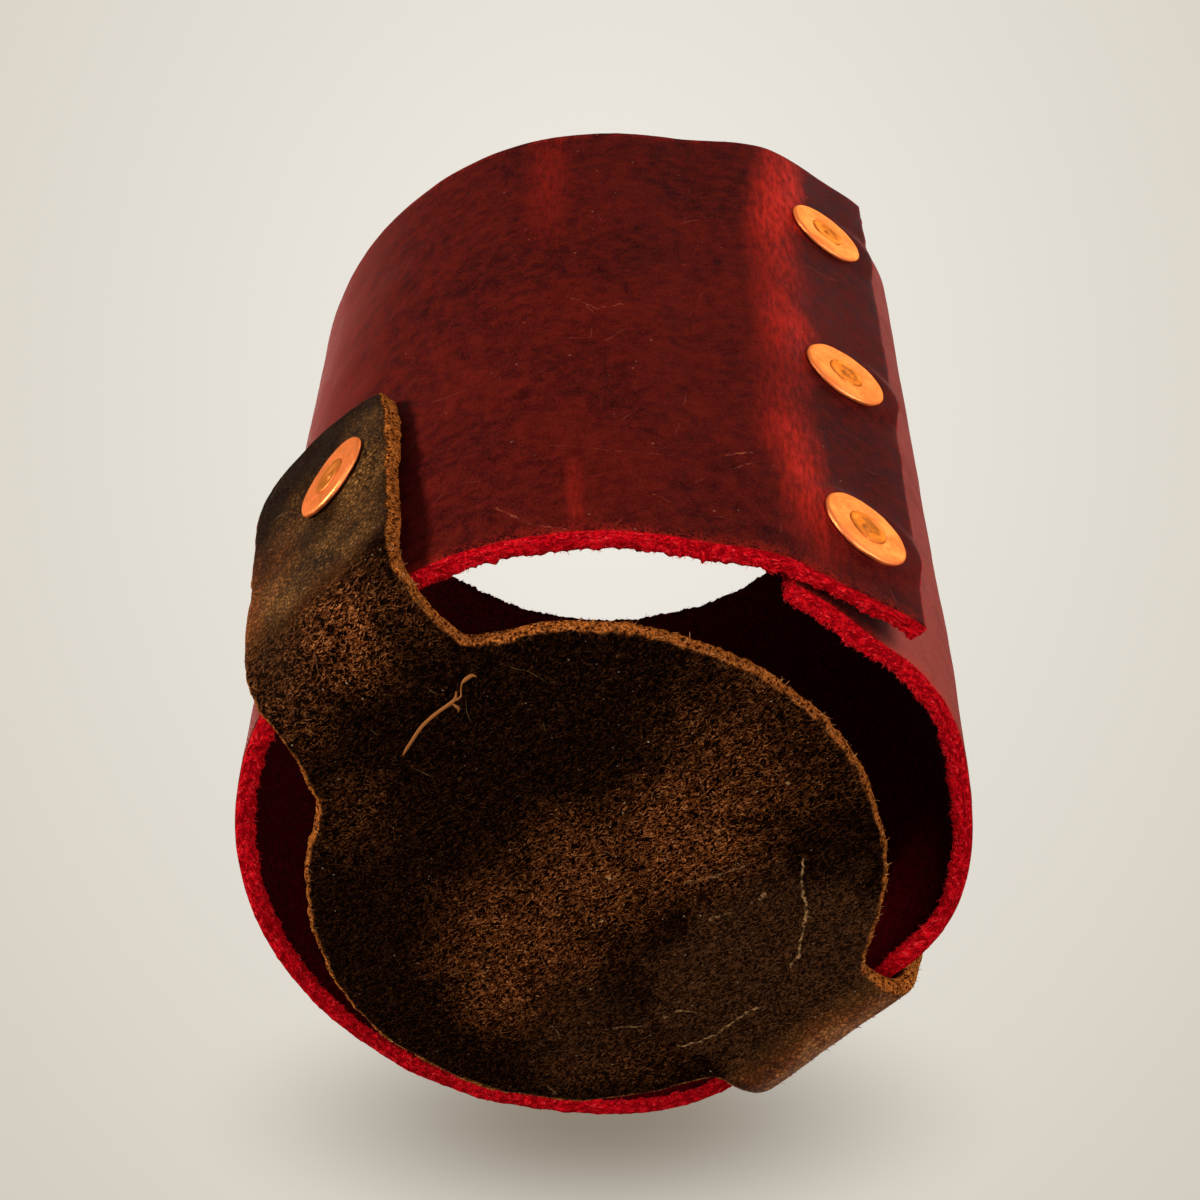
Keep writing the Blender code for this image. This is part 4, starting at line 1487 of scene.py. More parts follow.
        shaped = self.relief(flat, away, out, seats)
        turn_per_metre = self.sweep / self.length
        azimuth = self.start + shaped[:, 0] * turn_per_metre
        half = self.thickness / 2.0
        store(mesh, Mask.BLANK, flat)
        store(mesh, Mask.WALL, self.wall_radius(azimuth, shaped[:, 1] + self.bottom))
        store(mesh, Mask.RAW, self._raw(flat, away))
        store(mesh, Mask.FLESH, np.clip(0.5 - flat[:, 2] / half, 0.0, 1.0))
        beside = np.clip(1.0 - away / (0.25 * MM), 0.0, 1.0)
        fringe = beside * np.clip(-1.0 - 2.0 * flat[:, 2] / half, 0.004, 1.0)
        store(mesh, Mask.FUZZ, fringe)
        mesh.vertices.foreach_set("co", shaped.ravel())
        mesh.update()
        values = {"Start Azimuth": self.start, "Turn Per Metre": turn_per_metre, "Bottom": self.bottom,
                  "Material": material}
        piece = with_nodes(mesh, "sleeve_leather", shop.trees.roll, values)
        return shop.hand_over(piece, Slot.RED_LEATHER, "sleeve")

    @staticmethod
    def _raw(flat: Array, away: Array) -> Array:
        """How raw the leather is: 1 on the cut edge, fading over the corner."""
        reach = 0.09 * MM + 0.04 * MM * lattice_noise(flat, 0.8 * MM, 51)
        return np.clip(1.0 - away / np.maximum(reach, 1e-5), 0.0, 1.0)

    def grow_edges(self, shop: Shop, sleeve: Object, material: Material) -> Object:
        """Grow the loose fibres of the cut edges.

        Args:
            shop: Shared effects and trees.
            sleeve: The finished sleeve.
            material: The fibres' finish.

        Returns:
            The fibres.
        """
        values = {"Density": 1.0e7, "Length": 0.38 * MM, "Least Length": 0.12 * MM, "Radius": 0.035 * MM,
                  "Lean": 0.7, "Seed": 4, "Material": material}
        fibres = with_nodes(sleeve.data.copy(), "sleeve_edge_fibres", shop.trees.fibres, values)
        return shop.hand_over(fibres, Slot.RED_LEATHER)


@dataclass
class BaseStrap:
    """The brown base strap: a disc with two tabs, bent up outside the sleeve. Lengths in metres."""

    sleeve: Sleeve
    thickness: float = 2.0 * MM
    disc_radius: float = 28.7 * MM
    disc_shift: float = 1.2 * MM
    disc_front_skew: float = 0.95 * MM
    disc_back_skew: float = 0.45 * MM
    disc_back_length: float = 27.35 * MM
    disc_back_depth: float = 29.25 * MM
    half_width: float = 10.1 * MM
    spread: float = 2.8 * MM
    spread_x: float = -24.3 * MM
    spread_reach: float = 5.2 * MM
    corner: float = 3.0 * MM
    left_bend_radius: float = 6.0 * MM
    right_bend_radius: float = 8.5 * MM
    settle_height: float = 14.5 * MM
    tab_tip: float = 44.0 * MM
    tip: Points = (
        (-10.2 * MM, 8.6 * MM), (-9.9 * MM, 3.6 * MM), (-7.6 * MM, 1.3 * MM), (-4.6 * MM, 0.3 * MM),
        (-1.4 * MM, 0.0), (1.8 * MM, 0.2 * MM), (5.0 * MM, 0.9 * MM), (7.9 * MM, 2.6 * MM),
        (9.5 * MM, 5.4 * MM), (10.2 * MM, 9.4 * MM),
    )
    left_lean: float = 4.4 * MM
    lean_start: float = 6.0 * MM
    nap_top: float = 13.0 * MM
    cell: float = 1.0 * MM
    edge_cell: float = 0.55 * MM
    seat_reach: float = 7.5 * MM
    cap_length: float = 9.5 * MM

    def __post_init__(self) -> None:
        """Work out both halves of the bent path."""
        self.mid_x = self.sleeve.outer_radius + self.sleeve.clearance + self.thickness / 2.0
        self.paths = {
            -1: self._path(self.sleeve.left_squeeze, self.left_bend_radius),
            1: self._path(self.sleeve.right_squeeze, self.right_bend_radius),
        }

    def _path(self, squeeze: float, radius: float) -> tuple[Array, Array, Array, Array]:
        """Middle of the leather along one half of the strap.

        Args:
            squeeze: How much the sleeve's bottom edge is flattened at this side.
            radius: Radius of the bend, at the middle of the leather.

        Returns:
            Lengths along the strap, and X, Z and slope there.
        """
        inner = radius - self.thickness / 2.0
        centre_z = radius + self.thickness / 2.0
        drop = max(centre_z - self.sleeve.bottom, 0.0)
        reach = math.sqrt(max(inner**2 - drop**2, 0.0))
        flat_end = self.sleeve.outer_radius - squeeze + self.sleeve.clearance - reach
        to_upright = Vector((self.mid_x - flat_end, self.settle_height - centre_z))
        bend_turn = to_upright.angle_signed(Vector((1.0, 0.0)), 0.0)
        bend_turn += math.pi / 2.0 - math.acos(min(radius / to_upright.length, 1.0))
        turns = np.linspace(0.0, bend_turn, 60)
        corners = [np.array([[0.0, self.thickness / 2.0]])]
        corners.append(np.stack([flat_end + radius * np.sin(turns), centre_z - radius * np.cos(turns)],
                                axis=1))
        corners.append(np.array([[self.mid_x, self.settle_height], [self.mid_x, self.tab_tip + 5.0 * MM]]))
        route = np.concatenate(corners)
        gaps = np.linalg.norm(np.diff(route, axis=0), axis=1)
        lengths = np.concatenate([[0.0], np.cumsum(gaps)])
        even = np.arange(0.0, lengths[-1], 0.1 * MM)
        points = np.stack([np.interp(even, lengths, route[:, axis]) for axis in (0, 1)], axis=1)
        window = np.hanning(33)
        window /= window.sum()
        padded = np.pad(points, ((16, 16), (0, 0)), mode="reflect", reflect_type="odd")
        points = np.stack([np.convolve(padded[:, axis], window, mode="valid") for axis in (0, 1)], axis=1)
        slope = np.arctan2(np.gradient(points[:, 1]), np.gradient(points[:, 0]))
        return even, points[:, 0], points[:, 1], slope

    def length_at(self, side: int, height: float) -> float:
        """Length along the strap where the tab's middle reaches a height."""
        lengths, _, z, _ = self.paths[side]
        return float(np.interp(height, z[z > self.thickness], lengths[z > self.thickness]))

    def edges(self, along: Array) -> tuple[Array, Array]:
        """Front and back edge of the blank at places along it."""
        front_chord = np.sqrt(np.maximum(self.disc_radius**2 - (along + self.disc_front_skew) ** 2, 0.0))
        share = (along - self.disc_back_skew) / self.disc_back_length
        back_chord = self.disc_back_depth * np.sqrt(np.maximum(1.0 - share**2, 0.0))
        widening = np.exp(-(((along - self.spread_x) / self.spread_reach) ** 2))
        back_half = self.half_width + self.spread * widening
        front = -smooth_max(front_chord - self.disc_shift, self.half_width, self.corner)
        return front, smooth_max(back_chord + self.disc_shift, back_half, self.corner)

    def cap(self, across: Array, side: int) -> Array:
        """How far below its tip a tab's end runs, at places across it."""
        places, drops = np.array(self.tip).T
        even = np.linspace(places[0], places[-1], 200)
        line = np.interp(even, places, drops)
        window = np.hanning(25)
        padded = np.pad(line, 12, mode="reflect", reflect_type="odd")
        line = np.convolve(padded, window / window.sum(), mode="valid")
        return np.interp(-side * across, even, line)

    def rows(self) -> Array:
        """A grid over the blank: by place along it, then from its front edge to its back edge."""
        ends = {side: self.length_at(side, self.tab_tip) for side in (-1, 1)}
        body = {side: ends[side] - self.cap_length for side in (-1, 1)}
        body_xs = graded(-body[-1], body[1], self.cell, self.cell)
        shares = graded(0.0, 1.0, 0.012, 0.019)
        grid = []
        cap_steps = np.linspace(0.0, 1.0, 11)[1:]
        for side, order in ((-1, cap_steps[::-1]), (0, None), (1, cap_steps)):
            if side == 0:
                front, back = self.edges(body_xs)
                grid += [np.stack([np.full(len(shares), x), a + (b - a) * shares], axis=1)
                         for x, a, b in zip(body_xs, front, back)]
                continue
            start = body[side]
            y = -self.half_width + 2.0 * self.half_width * shares
            arc = ends[side] - self.cap(y, side)
            for step in order:
                grid.append(np.stack([side * (start + (arc - start) * step), y], axis=1))
        return np.array(grid)

    def bend(self, flat: Array) -> Array:
        """Bend flat points of the blank into place.

        Args:
            flat: Points of the blank, one to a row, above 0 through it on the outer side.

        Returns:
            Their places in the cooler's frame.
        """
        placed = np.empty_like(flat)
        for side in (-1, 1):
            mine = flat[:, 0] * side >= 0.0
            lengths, xs, zs, slopes = self.paths[side]
            along = np.abs(flat[mine, 0])
            x, z, slope = (np.interp(along, lengths, values) for values in (xs, zs, slopes))
            lean = self.left_lean if side < 0 else 0.0
            shift = lean * np.maximum(z - self.lean_start, 0.0) / (self.tab_tip - self.lean_start)
            through = flat[mine, 2]
            placed[mine, 0] = side * (x + np.sin(slope) * through)
            placed[mine, 1] = flat[mine, 1] + shift
            placed[mine, 2] = z - np.cos(slope) * through
        return placed

    def seats(self, fittings: Sequence["Fitting"]) -> list[Seat]:
        """The seats that the burrs press into the tabs."""
        seats = []
        for fitting in fittings:
            if fitting.on_lap:
                continue
            side = 1 if math.cos(fitting.azimuth) > 0.0 else -1
            along = side * self.length_at(side, fitting.height)
            lean = self.left_lean if side < 0 else 0.0
            shift = lean * (fitting.height - self.lean_start) / (self.tab_tip - self.lean_start)
            seats.append(Seat(along, -shift, 1, fitting.burr_radius, fitting.lift - 0.17 * MM,
                              slopes=(0.0, -math.tan(fitting.tip))))
        return seats

    def build(self, shop: Shop, material: Material, fittings: Sequence["Fitting"]) -> Object:
        """Cut the blank, give it its relief and bend it.

        Args:
            shop: Shared effects and trees.
            material: Its finish.
            fittings: The rivets that go through its tabs.

        Returns:
            The strap.
        """
        rows = self.rows()
        blank = FlatBlank("strap_blank", rows, self.thickness)
        loop = np.concatenate([rows[:, 0], rows[-1, 1:-1], rows[::-1, -1], rows[0, -2:0:-1]])
        ring = []
        for here, after in zip(loop, np.roll(loop, -1, axis=0)):
            count = max(int(np.linalg.norm(after - here) / (0.15 * MM)), 1)
            ring += [here + (after - here) * share for share in np.arange(count) / count]
        outline = Outline(np.array(ring))
        seats = self.seats(fittings)
        band = self.edge_cell * 1.2

        def fine(place: Vector) -> bool:
            """Whether a place is beside the cut edge or on a seat."""
            if outline.tree.find((place.x, place.y, 0.0))[2] < band:
                return True
            for seat in seats:
                gap = math.hypot(place.x - seat.along, place.y - seat.across)
                if place.z > 0.0 and gap < self.seat_reach:
                    return True
            return False

        half = self.thickness / 2.0
        blank.refine(lambda place: place.z > half - TOUCHING or fine(place), 2)
        mesh, flat = blank.finish()
        away, out = outline.measure(flat[:, :2])
        away = np.where(np.abs(np.abs(flat[:, 2]) - half) < TOUCHING, away, 0.0)

        side = np.sign(flat[:, 2])
        on_face = np.abs(np.abs(flat[:, 2]) - half) < TOUCHING
        outer = on_face & (side > 0)
        edge = np.clip(1.0 - away / (0.8 * MM), 0.0, 1.0)
        height = self.bend(flat)[:, 2] + 0.9 * MM * fractal_noise(flat, 4.0 * MM, 55)
        nap = 1.0 - smooth_step((height - 5.0 * MM) / (self.nap_top - 5.0 * MM))
        nap = np.where(np.abs(flat[:, 0]) < self.disc_radius, 1.0, nap)
        nap *= 1.0 - 0.9 * smooth_step((flat[:, 0] - 26.0 * MM) / (4.0 * MM))
        through = flat[:, 2].copy()
        swell = 0.09 * MM * fractal_noise(flat, 12.0 * MM, 61) + 0.03 * MM * fractal_noise(flat, 3.0 * MM, 65)
        tufty = 0.07 * MM * fractal_noise(flat, 1.1 * MM, 69) + 0.05 * MM * lattice_noise(flat, 0.5 * MM, 68)
        through += np.where(outer, swell + nap * tufty - 0.1 * MM * nap, 0.0)
        through -= np.where(on_face, side, flat[:, 2] / half) * 0.30 * MM * edge**2
        through -= np.where(side < 0, 0.55 * MM * smooth_step((height - 20.0 * MM) / (16.0 * MM)) * edge, 0.0)
        lumps = 0.14 * MM * fractal_noise(flat, 0.9 * MM, 71) + 0.09 * MM * fractal_noise(flat, 0.42 * MM, 77)
        wander = 0.30 * MM * fractal_noise(flat * (1.0, 1.0, 0.0), 6.0 * MM, 81)
        crown = 0.22 * MM * (1.0 - (flat[:, 2] / half) ** 2)
        near = np.clip(1.0 - away / (2.0 * MM), 0.0, 1.0)
        push = np.where(away < TOUCHING, lumps + crown - 0.1 * MM, 0.0) + wander * near
        shaped = flat.copy()
        shaped[:, :2] += out * push[:, None]
        for seat in seats:
            through = seat.press(flat[:, 0], flat[:, 1], through, half)
        shaped[:, 2] = through

        border = (0.30 + 0.20 * lattice_noise(flat, 0.7 * MM, 51)) * MM
        raw = 1.0 - smooth_step((away / border - 0.55) / 0.75)
        store(mesh, Mask.BLANK, flat)
        store(mesh, Mask.RAW, raw)
        store(mesh, Mask.NAP, nap)
        fringe = 0.2 * raw * nap * np.where(on_face, 1.0, 0.7)
        grown = np.where(outer, nap * (1.0 - raw), 0.0)
        store(mesh, Mask.FUZZ, np.maximum(grown, fringe * np.where(side > 0, 1.0, 0.4)))
        mesh.vertices.foreach_set("co", self.bend(shaped).ravel())
        mesh.update()
        mesh.shade_smooth()
        mesh.materials.append(material)
        piece = add_object("base_strap_leather", mesh)
        return shop.hand_over(piece, Slot.BROWN_LEATHER, "base_strap")

    def grow_nap(self, shop: Shop, strap: Object, material: Material) -> None:
        """Grow the short fibres of the nap, in several pieces.

        Args:
            shop: Shared effects and trees.
            strap: The finished strap.
            material: The fibres' finish.
        """
        for seed, name in enumerate(("base_strap_nap", "base_strap_nap_fine", "base_strap_nap_short",
                                     "base_strap_nap_soft", "base_strap_nap_close"), start=11):
            values = {"Density": 3.2e6, "Length": 0.55 * MM, "Least Length": 0.2 * MM, "Radius": 0.038 * MM,
                      "Rise": 0.22, "Lean": 0.6, "Comb": (0.24, -0.9, 0.0), "Seed": seed,
                      "Material": material}
            nap = with_nodes(strap.data.copy(), name, shop.trees.fibres, values)
            shop.hand_over(nap, Slot.BROWN_LEATHER)


@dataclass(frozen=True)
class Fitting:
    """A copper rivet and its burr. Lengths in metres.

    Attributes:
        rivet: Name of the rivet's CAD node.
        burr: Name of the burr's CAD node.
        azimuth: Azimuth of its axis, in radians.
        height: Height of its axis.
        head_front: Distance of the head's face from the cooler's axis.
        burr_base: Distance of the burr's underside from the cooler's axis.
        on_lap: Whether it closes the lap.
        seed: Chooses its hammer marks.
        tip: How far it tips to the back, in radians.
        lift: How far the burr stands out from its place in the frame.
    """

    rivet: str
    burr: str
    azimuth: float
    height: float
    head_front: float
    burr_base: float
    on_lap: bool
    seed: int
    shank_radius: float = 1.95 * MM
    head_radius: float = 4.7 * MM
    head_thickness: float = 0.8 * MM
    burr_radius: float = 4.8 * MM
    burr_thickness: float = 0.6 * MM
    tip: float = 0.0
    lift: float = 0.0

    @classmethod
    def from_frame(
        cls, place: str, azimuth: float, on_lap: bool, seed: int, tip: float, lift: float
    ) -> "Fitting":
        """Read a fitting's place from the frame.

        Args:
            place: Its place in the nodes' names.
            azimuth: Azimuth of its axis, in radians.
            on_lap: Whether it closes the lap.
            seed: Chooses its hammer marks.
            tip: How far it tips to the back, in degrees.
            lift: How far the burr stands out from its place in the frame, in millimetres.

        Returns:
            The fitting.
        """
        kind = "seam" if on_lap else "tab"
        rivet, burr = f"{kind}_rivet_{place}", f"{kind}_burr_{place}"
        outward = np.array([math.cos(azimuth), math.sin(azimuth), 0.0])
        reach = {}
        for node in (rivet, burr):
            points = np.array([vertex.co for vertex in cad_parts[node].data.vertices])
            reach[node] = points @ outward
        low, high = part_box(burr)
        return cls(rivet, burr, azimuth, (low.z + high.z) / 2.0, float(reach[rivet].min()),
                   float(reach[burr].min()) + lift * MM, on_lap, seed, tip=math.radians(tip), lift=lift * MM)

    def place(self) -> Matrix:
        """A frame on the cooler's axis whose Z runs out through the rivet."""
        outward = Vector((math.cos(self.azimuth), math.sin(self.azimuth), 0.0))
        sideways = Vector((0.0, 0.0, 1.0)).cross(outward)
        turn = Matrix((sideways, outward.cross(sideways), outward)).transposed()
        foot = Matrix.Translation((0.0, 0.0, self.burr_base))
        tipped = foot @ Matrix.Rotation(-self.tip, 4, "Y") @ foot.inverted()
        return Matrix.Translation((0.0, 0.0, self.height)) @ turn.to_4x4() @ tipped

    def _turned(
        self, shop: Shop, node: str, profile: Sequence[tuple[float, float]], closed: bool, seed: float,
        material: Material,
    ) -> Object:
        """Turn and hammer one piece of copper.

        Args:
            shop: Shared effects and trees.
            node: The CAD node that it stands for.
            profile: Radii and heights of its profile.
            closed: Whether the profile runs back to its start.
            seed: Chooses its hammer marks.
            material: Its finish.

        Returns:
            The piece.
        """
        bm = bmesh.new()
        verts = [bm.verts.new((radius, 0.0, height)) for radius, height in profile]
        pairs = list(zip(verts, verts[1:])) + ([(verts[-1], verts[0])] if closed else [])
        for pair in pairs:
            bm.edges.new(pair)
        mesh = bpy.data.meshes.new(node + "_profile")
        bm.to_mesh(mesh)
        bm.free()
        values = {"Steps Round": 73, "Steps Along": 70, "Seed": seed,
                  "Dent Depth": (0.16 if closed else 0.3) * MM, "Dent Size": 1.6 * MM,
                  "Out Of Round": (0.3 if closed else 0.8) * MM, "Material": material}
        piece = with_nodes(mesh, node + "_hammered", shop.trees.turn, values)
        bm = bmesh.new()
        bm.from_mesh(piece.data)
        bmesh.ops.recalc_face_normals(bm, faces=bm.faces)
        bm.to_mesh(piece.data)
        bm.free()
        piece.data.transform(self.place())
        return shop.hand_over(piece, Slot.COPPER, node)

    def build(self, shop: Shop, burr_finish: Material, post_finish: Material) -> None:
        """Make the rivet and the burr.

        Args:
            shop: Shared effects and trees.
            burr_finish: The burr's finish.
            post_finish: The rivet's finish.
        """
        base, top = self.burr_base, self.burr_base + self.burr_thickness
        front, back = self.head_front, self.head_front + self.head_thickness
        soft = 0.16 * MM
        bore = self.shank_radius + 0.03 * MM
        rim = self.burr_radius
        burr = ((bore, base), (rim - soft, base), (rim, base + 0.6 * soft), (rim, top - 0.24 * MM),
                (rim - 0.06 * MM, top - 0.14 * MM), (rim - 0.25 * MM, top - 0.05 * MM), (rim - 0.8 * MM, top),
                (bore + 1.3 * MM, top), (bore + 0.5 * MM, top - 0.03 * MM), (bore, top - 0.10 * MM))
        self._turned(shop, self.burr, burr, True, self.seed * 3.7, burr_finish)
        rivet = ((0.0, front - 0.05 * MM), (self.head_radius - 2.0 * soft, front),
                 (self.head_radius, front + soft), (self.head_radius - 0.5 * soft, back),
                 (self.shank_radius, back), (self.shank_radius, top - 0.25 * MM),
                 (bore + 0.25 * MM, top - 0.08 * MM), (bore + 0.1 * MM, top + 0.02 * MM),
                 (1.45 * MM, top + 0.03 * MM), (1.05 * MM, top - 0.12 * MM), (0.6 * MM, top - 0.16 * MM),
                 (0.25 * MM, top + 0.02 * MM), (0.0, top + 0.08 * MM))
        self._turned(shop, self.rivet, rivet, False, self.seed * 5.1, post_finish)


@dataclass
class LooseStrand:
    """A strand of leather that has come away at the strap's front corner.

    Attributes:
        routes: Its parts' places and fatness, places in millimetres.
        radius: Its radius at a fatness of 1, in metres.
    """

    routes: tuple[Strand,
                  ...] = (((-23.5, 3.2, 0.1, 0.4), (-23.9, 2.4, -0.25, 0.8), (-24.3, 1.1, -0.45, 0.85),
                           (-24.8, -0.4, -0.6, 0.95), (-25.0, -1.8, -0.65, 0.9), (-24.95, -3.3, -0.6, 0.85),
                           (-24.8, -4.9, -0.6, 1.0), (-24.9, -5.5, -0.5, 0.7), (-25.3, -5.9, -0.4, 0.3)),
                          ((-24.9, -4.6, -0.5, 0.5), (-24.2, -4.9, -0.7, 0.9), (-23.7, -4.6, -0.5, 0.6),
                           (-23.5, -4.2, -0.2, 0.3)),
                          ((-24.8, -5.0, -0.5, 0.6), (-24.6, -5.9, -0.8, 0.5), (-25.2, -6.4, -0.6, 0.25),
                           (-25.5, -6.8, -0.4, 0.3), (-25.65, -7.2, -0.5, 0.9), (-25.7, -7.9, -0.6, 1.1),
                           (-25.6, -8.4, -0.5, 0.8), (-25.1, -8.3, -0.3, 0.3)))
    radius: float = 0.19 * MM

    def build(self, shop: Shop, material: Material) -> Object:
        """Make the strand as a tapering tube.

        Args:
            shop: Shared effects and trees.
            material: Its finish.

        Returns:
            The strand.
        """
        curve = bpy.data.curves.new("loose_strand_route", "CURVE")
        curve.dimensions = "3D"
        curve.resolution_u = 8
        curve.bevel_depth = self.radius
        curve.bevel_resolution = 2
        curve.use_fill_caps = True
        for route in self.routes:
            spline = curve.splines.new("NURBS")
            spline.points.add(len(route) - 1)
            spline.use_endpoint_u = True
            spline.order_u = 3
            for point, (x, y, z, fatness) in zip(spline.points, route):
                point.co = (x * MM, y * MM, z * MM, 1.0)
                point.radius = fatness
        thing = add_object("loose_strand_start", curve)
        strand = evaluated(thing, "loose_strand")
        strand.data.materials.clear()
        strand.data.materials.append(material)
        store(strand.data, Mask.SHADE, np.full(len(strand.data.vertices), 0.4))
        return shop.hand_over(strand, Slot.BROWN_LEATHER)


@dataclass
class Studio:
    """Floor, backdrop, lamps and camera."""

    eye: Vector
    right: Vector
    up: Vector
    look: Vector
    lens: float = 76.6
    sensor_width: float = 36.0
    floor_size: float = 4.0
    floor_drop: float = 0.6 * MM
    target_height: float = 45.0 * MM
    floor_colour: Colour = srgb(222, 216, 206)

    def build(self) -> None:
        """Set the whole studio up."""
        self._camera()
        self._world()
        self._floor()
        self._lamps()
        bpy.context.scene.view_settings.view_transform = "Standard"

    def _camera(self) -> None:
        """The camera at the photograph's place."""
        data = bpy.data.cameras.new("camera")
        data.lens = self.lens
        data.sensor_width = self.sensor_width
        data.clip_start = 0.01
        camera = add_object("camera", data)
        turn = Matrix((self.right, self.up, -self.look)).transposed().to_4x4()
        camera.matrix_world = Matrix.Translation(self.eye) @ turn
        bpy.context.scene.camera = camera

    def _world(self) -> None:
        """A pale backdrop with a soft shadow under the cooler, as the photograph's, and even light."""
        world = bpy.data.worlds.new("studio")
        bpy.context.scene.world = world
        world.use_nodes = True
        tree = world.node_tree
        tree.nodes.clear()
        graph = Graph(tree)
        way = graph.add("ShaderNodeTexCoord").outputs["Generated"]

        def along(axis: Vector) -> NodeSocket:
            """How far the view direction goes along an axis."""
            return graph.measure("DOT_PRODUCT", way, tuple(axis))

        depth = graph.most(along(self.look), 0.05)
        half_view = self.sensor_width / 2.0 / self.lens
        x = graph.over(graph.over(along(self.right), depth), half_view)
        y = graph.over(graph.over(along(self.up), depth), half_view)

        def away(centre_x: float, centre_y: float, reach_x: float, reach_y: float) -> NodeSocket:
            """Distance from a centre in the picture, as a share of its reach."""
            part_x = graph.over(graph.minus(x, centre_x), reach_x)
            part_y = graph.over(graph.minus(y, centre_y), reach_y)
            return graph.math("SQRT", graph.plus(graph.times(part_x, part_x), graph.times(part_y, part_y)))

        glow = graph.spread(away(0.0, 0.35, 1.5, 1.9), 0.1, 1.0, smooth=False)
        backdrop = graph.blend(glow, srgb(238, 234, 225), srgb(211, 204, 192))
        shadow = graph.spread(away(0.0, -0.86, 0.72, 0.26), 0.05, 1.0, 1.0, 0.0)
        backdrop = graph.blend(graph.times(shadow, 0.92), backdrop, srgb(130, 119, 104))

        paths = graph.add("ShaderNodeLightPath")
        seen = graph.most(paths.outputs["Is Camera Ray"], paths.outputs["Is Transmission Ray"])
        seen = graph.most(seen, paths.outputs["Is Glossy Ray"])
        even = graph.add("ShaderNodeBackground", {0: srgb(240, 236, 230), 1: 0.16}).outputs[0]
        shown = graph.add("ShaderNodeBackground", {0: backdrop, 1: 1.0}).outputs[0]
        mixed = graph.add("ShaderNodeMixShader", {0: seen, 1: even, 2: shown}).outputs[0]
        output = graph.add("ShaderNodeOutputWorld")
        graph.feed(output.inputs[0], mixed)

    def _floor(self) -> None:
        """A pale floor, seen only from above, that lets light through from below."""
        half = self.floor_size / 2.0
        mesh = bpy.data.meshes.new("floor")
        corners = [(-half, -half, 0.0), (half, -half, 0.0), (half, half, 0.0), (-half, half, 0.0)]
        mesh.from_pydata(corners, [], [(0, 1, 2, 3)])
        floor = add_object("floor", mesh)
        floor.location.z = -self.floor_drop
        material = bpy.data.materials.new("floor_paper")
        material.use_nodes = True
        tree = material.node_tree
        graph = Graph(tree)
        shader = tree.nodes["Principled BSDF"]
        mottle = graph.noise(graph.add("ShaderNodeTexCoord").outputs["Object"], 3.0)
        colour = graph.blend(mottle, self.floor_colour, srgb(226, 220, 211))
        graph.feed(shader.inputs["Base Color"], colour)
        shader.inputs["Roughness"].default_value = 0.95
        clear = graph.add("ShaderNodeBsdfTransparent").outputs[0]
        behind = graph.add("ShaderNodeNewGeometry").outputs["Backfacing"]
        mixed = graph.add("ShaderNodeMixShader", {0: behind, 1: shader.outputs[0], 2: clear}).outputs[0]
        graph.feed(tree.nodes["Material Output"].inputs[0], mixed)
        mesh.materials.append(material)
        floor.visible_shadow = False
        floor.visible_diffuse = False
        floor.visible_glossy = False

    def _lamp(self, name: str, way: Vector, distance: float, size: float, power: float) -> None:
        """Add a soft lamp that faces the cooler.

        Args:
            name: Its name.
            way: The way to it from the cooler.
            distance: Its distance.
            size: Its width.
            power: Its power in watts.
        """
        data = bpy.data.lights.new(name, "AREA")
        data.shape = "DISK"
        data.size = size
        data.energy = power
        lamp = add_object(name, data)
        lamp.location = Vector((0.0, 0.0, self.target_height)) + way.normalized() * distance
        lamp.rotation_euler = way.to_track_quat("Z", "Y").to_euler()
        lamp.visible_camera = False

    def _lamps(self) -> None:
        """Soft lamps: a key from the left of the picture, fills, and two for the upright views."""
        right, up, near = self.right, self.up, -self.look
        self._lamp("key", right * -1.10 + up * 0.30 + near * 0.45, 0.9, 0.20, 11.0)
        self._lamp("fill", right * 0.80 + up * 0.25 + near * 0.70, 1.0, 0.9, 9.0)
        self._lamp("under", Vector((-0.15, -0.30, -0.95)), 1.0, 0.5, 4.0)
        self._lamp("card", Vector((0.31, -0.45, 0.84)), 1.0, 0.7, 2.8)
        self._lamp("top", Vector((0.4, 0.5, 1.0)), 1.0, 0.6, 5.0)
        self._lamp("back", Vector((0.8, 0.8, 0.3)), 1.0, 0.6, 3.0)


SCARS = (
    Scar(((11.8, -15.3), (13.2, -13.7), (16.4, -11.5), (19.1, -8.5), (20.5, -6.9), (20.9, -5.1)), 0.11, 0.85),
    Scar(((6.2, -5.3), (7.4, -7.8), (8.5, -11.1)), 0.16, 0.35),
    Scar(((11.0, -3.8), (11.6, -5.7)), 0.14, 0.5),
    Scar(((17.0, 8.3), (17.3, 6.5), (18.7, 5.5)), 0.12, 0.8),
    Scar(((14.6, 12.9), (16.7, 10.3)), 0.12, 0.6),
    Scar(((20.9, 9.9), (21.9, 8.0), (22.4, 5.9), (22.3, 3.0), (22.7, 0.5)), 0.12, 0.9),
    Scar(((12.4, -9.6), (12.6, -9.1)), 0.3, 1.0),
    Scar(((0.3, -0.4), (0.5, -0.4)), 0.16, 1.4),
    Scar(((3.5, 3.8), (3.8, 3.8)), 0.16, 1.4),
    Scar(((3.9, -20.4), (4.1, -20.4)), 0.14, 1.2),
)


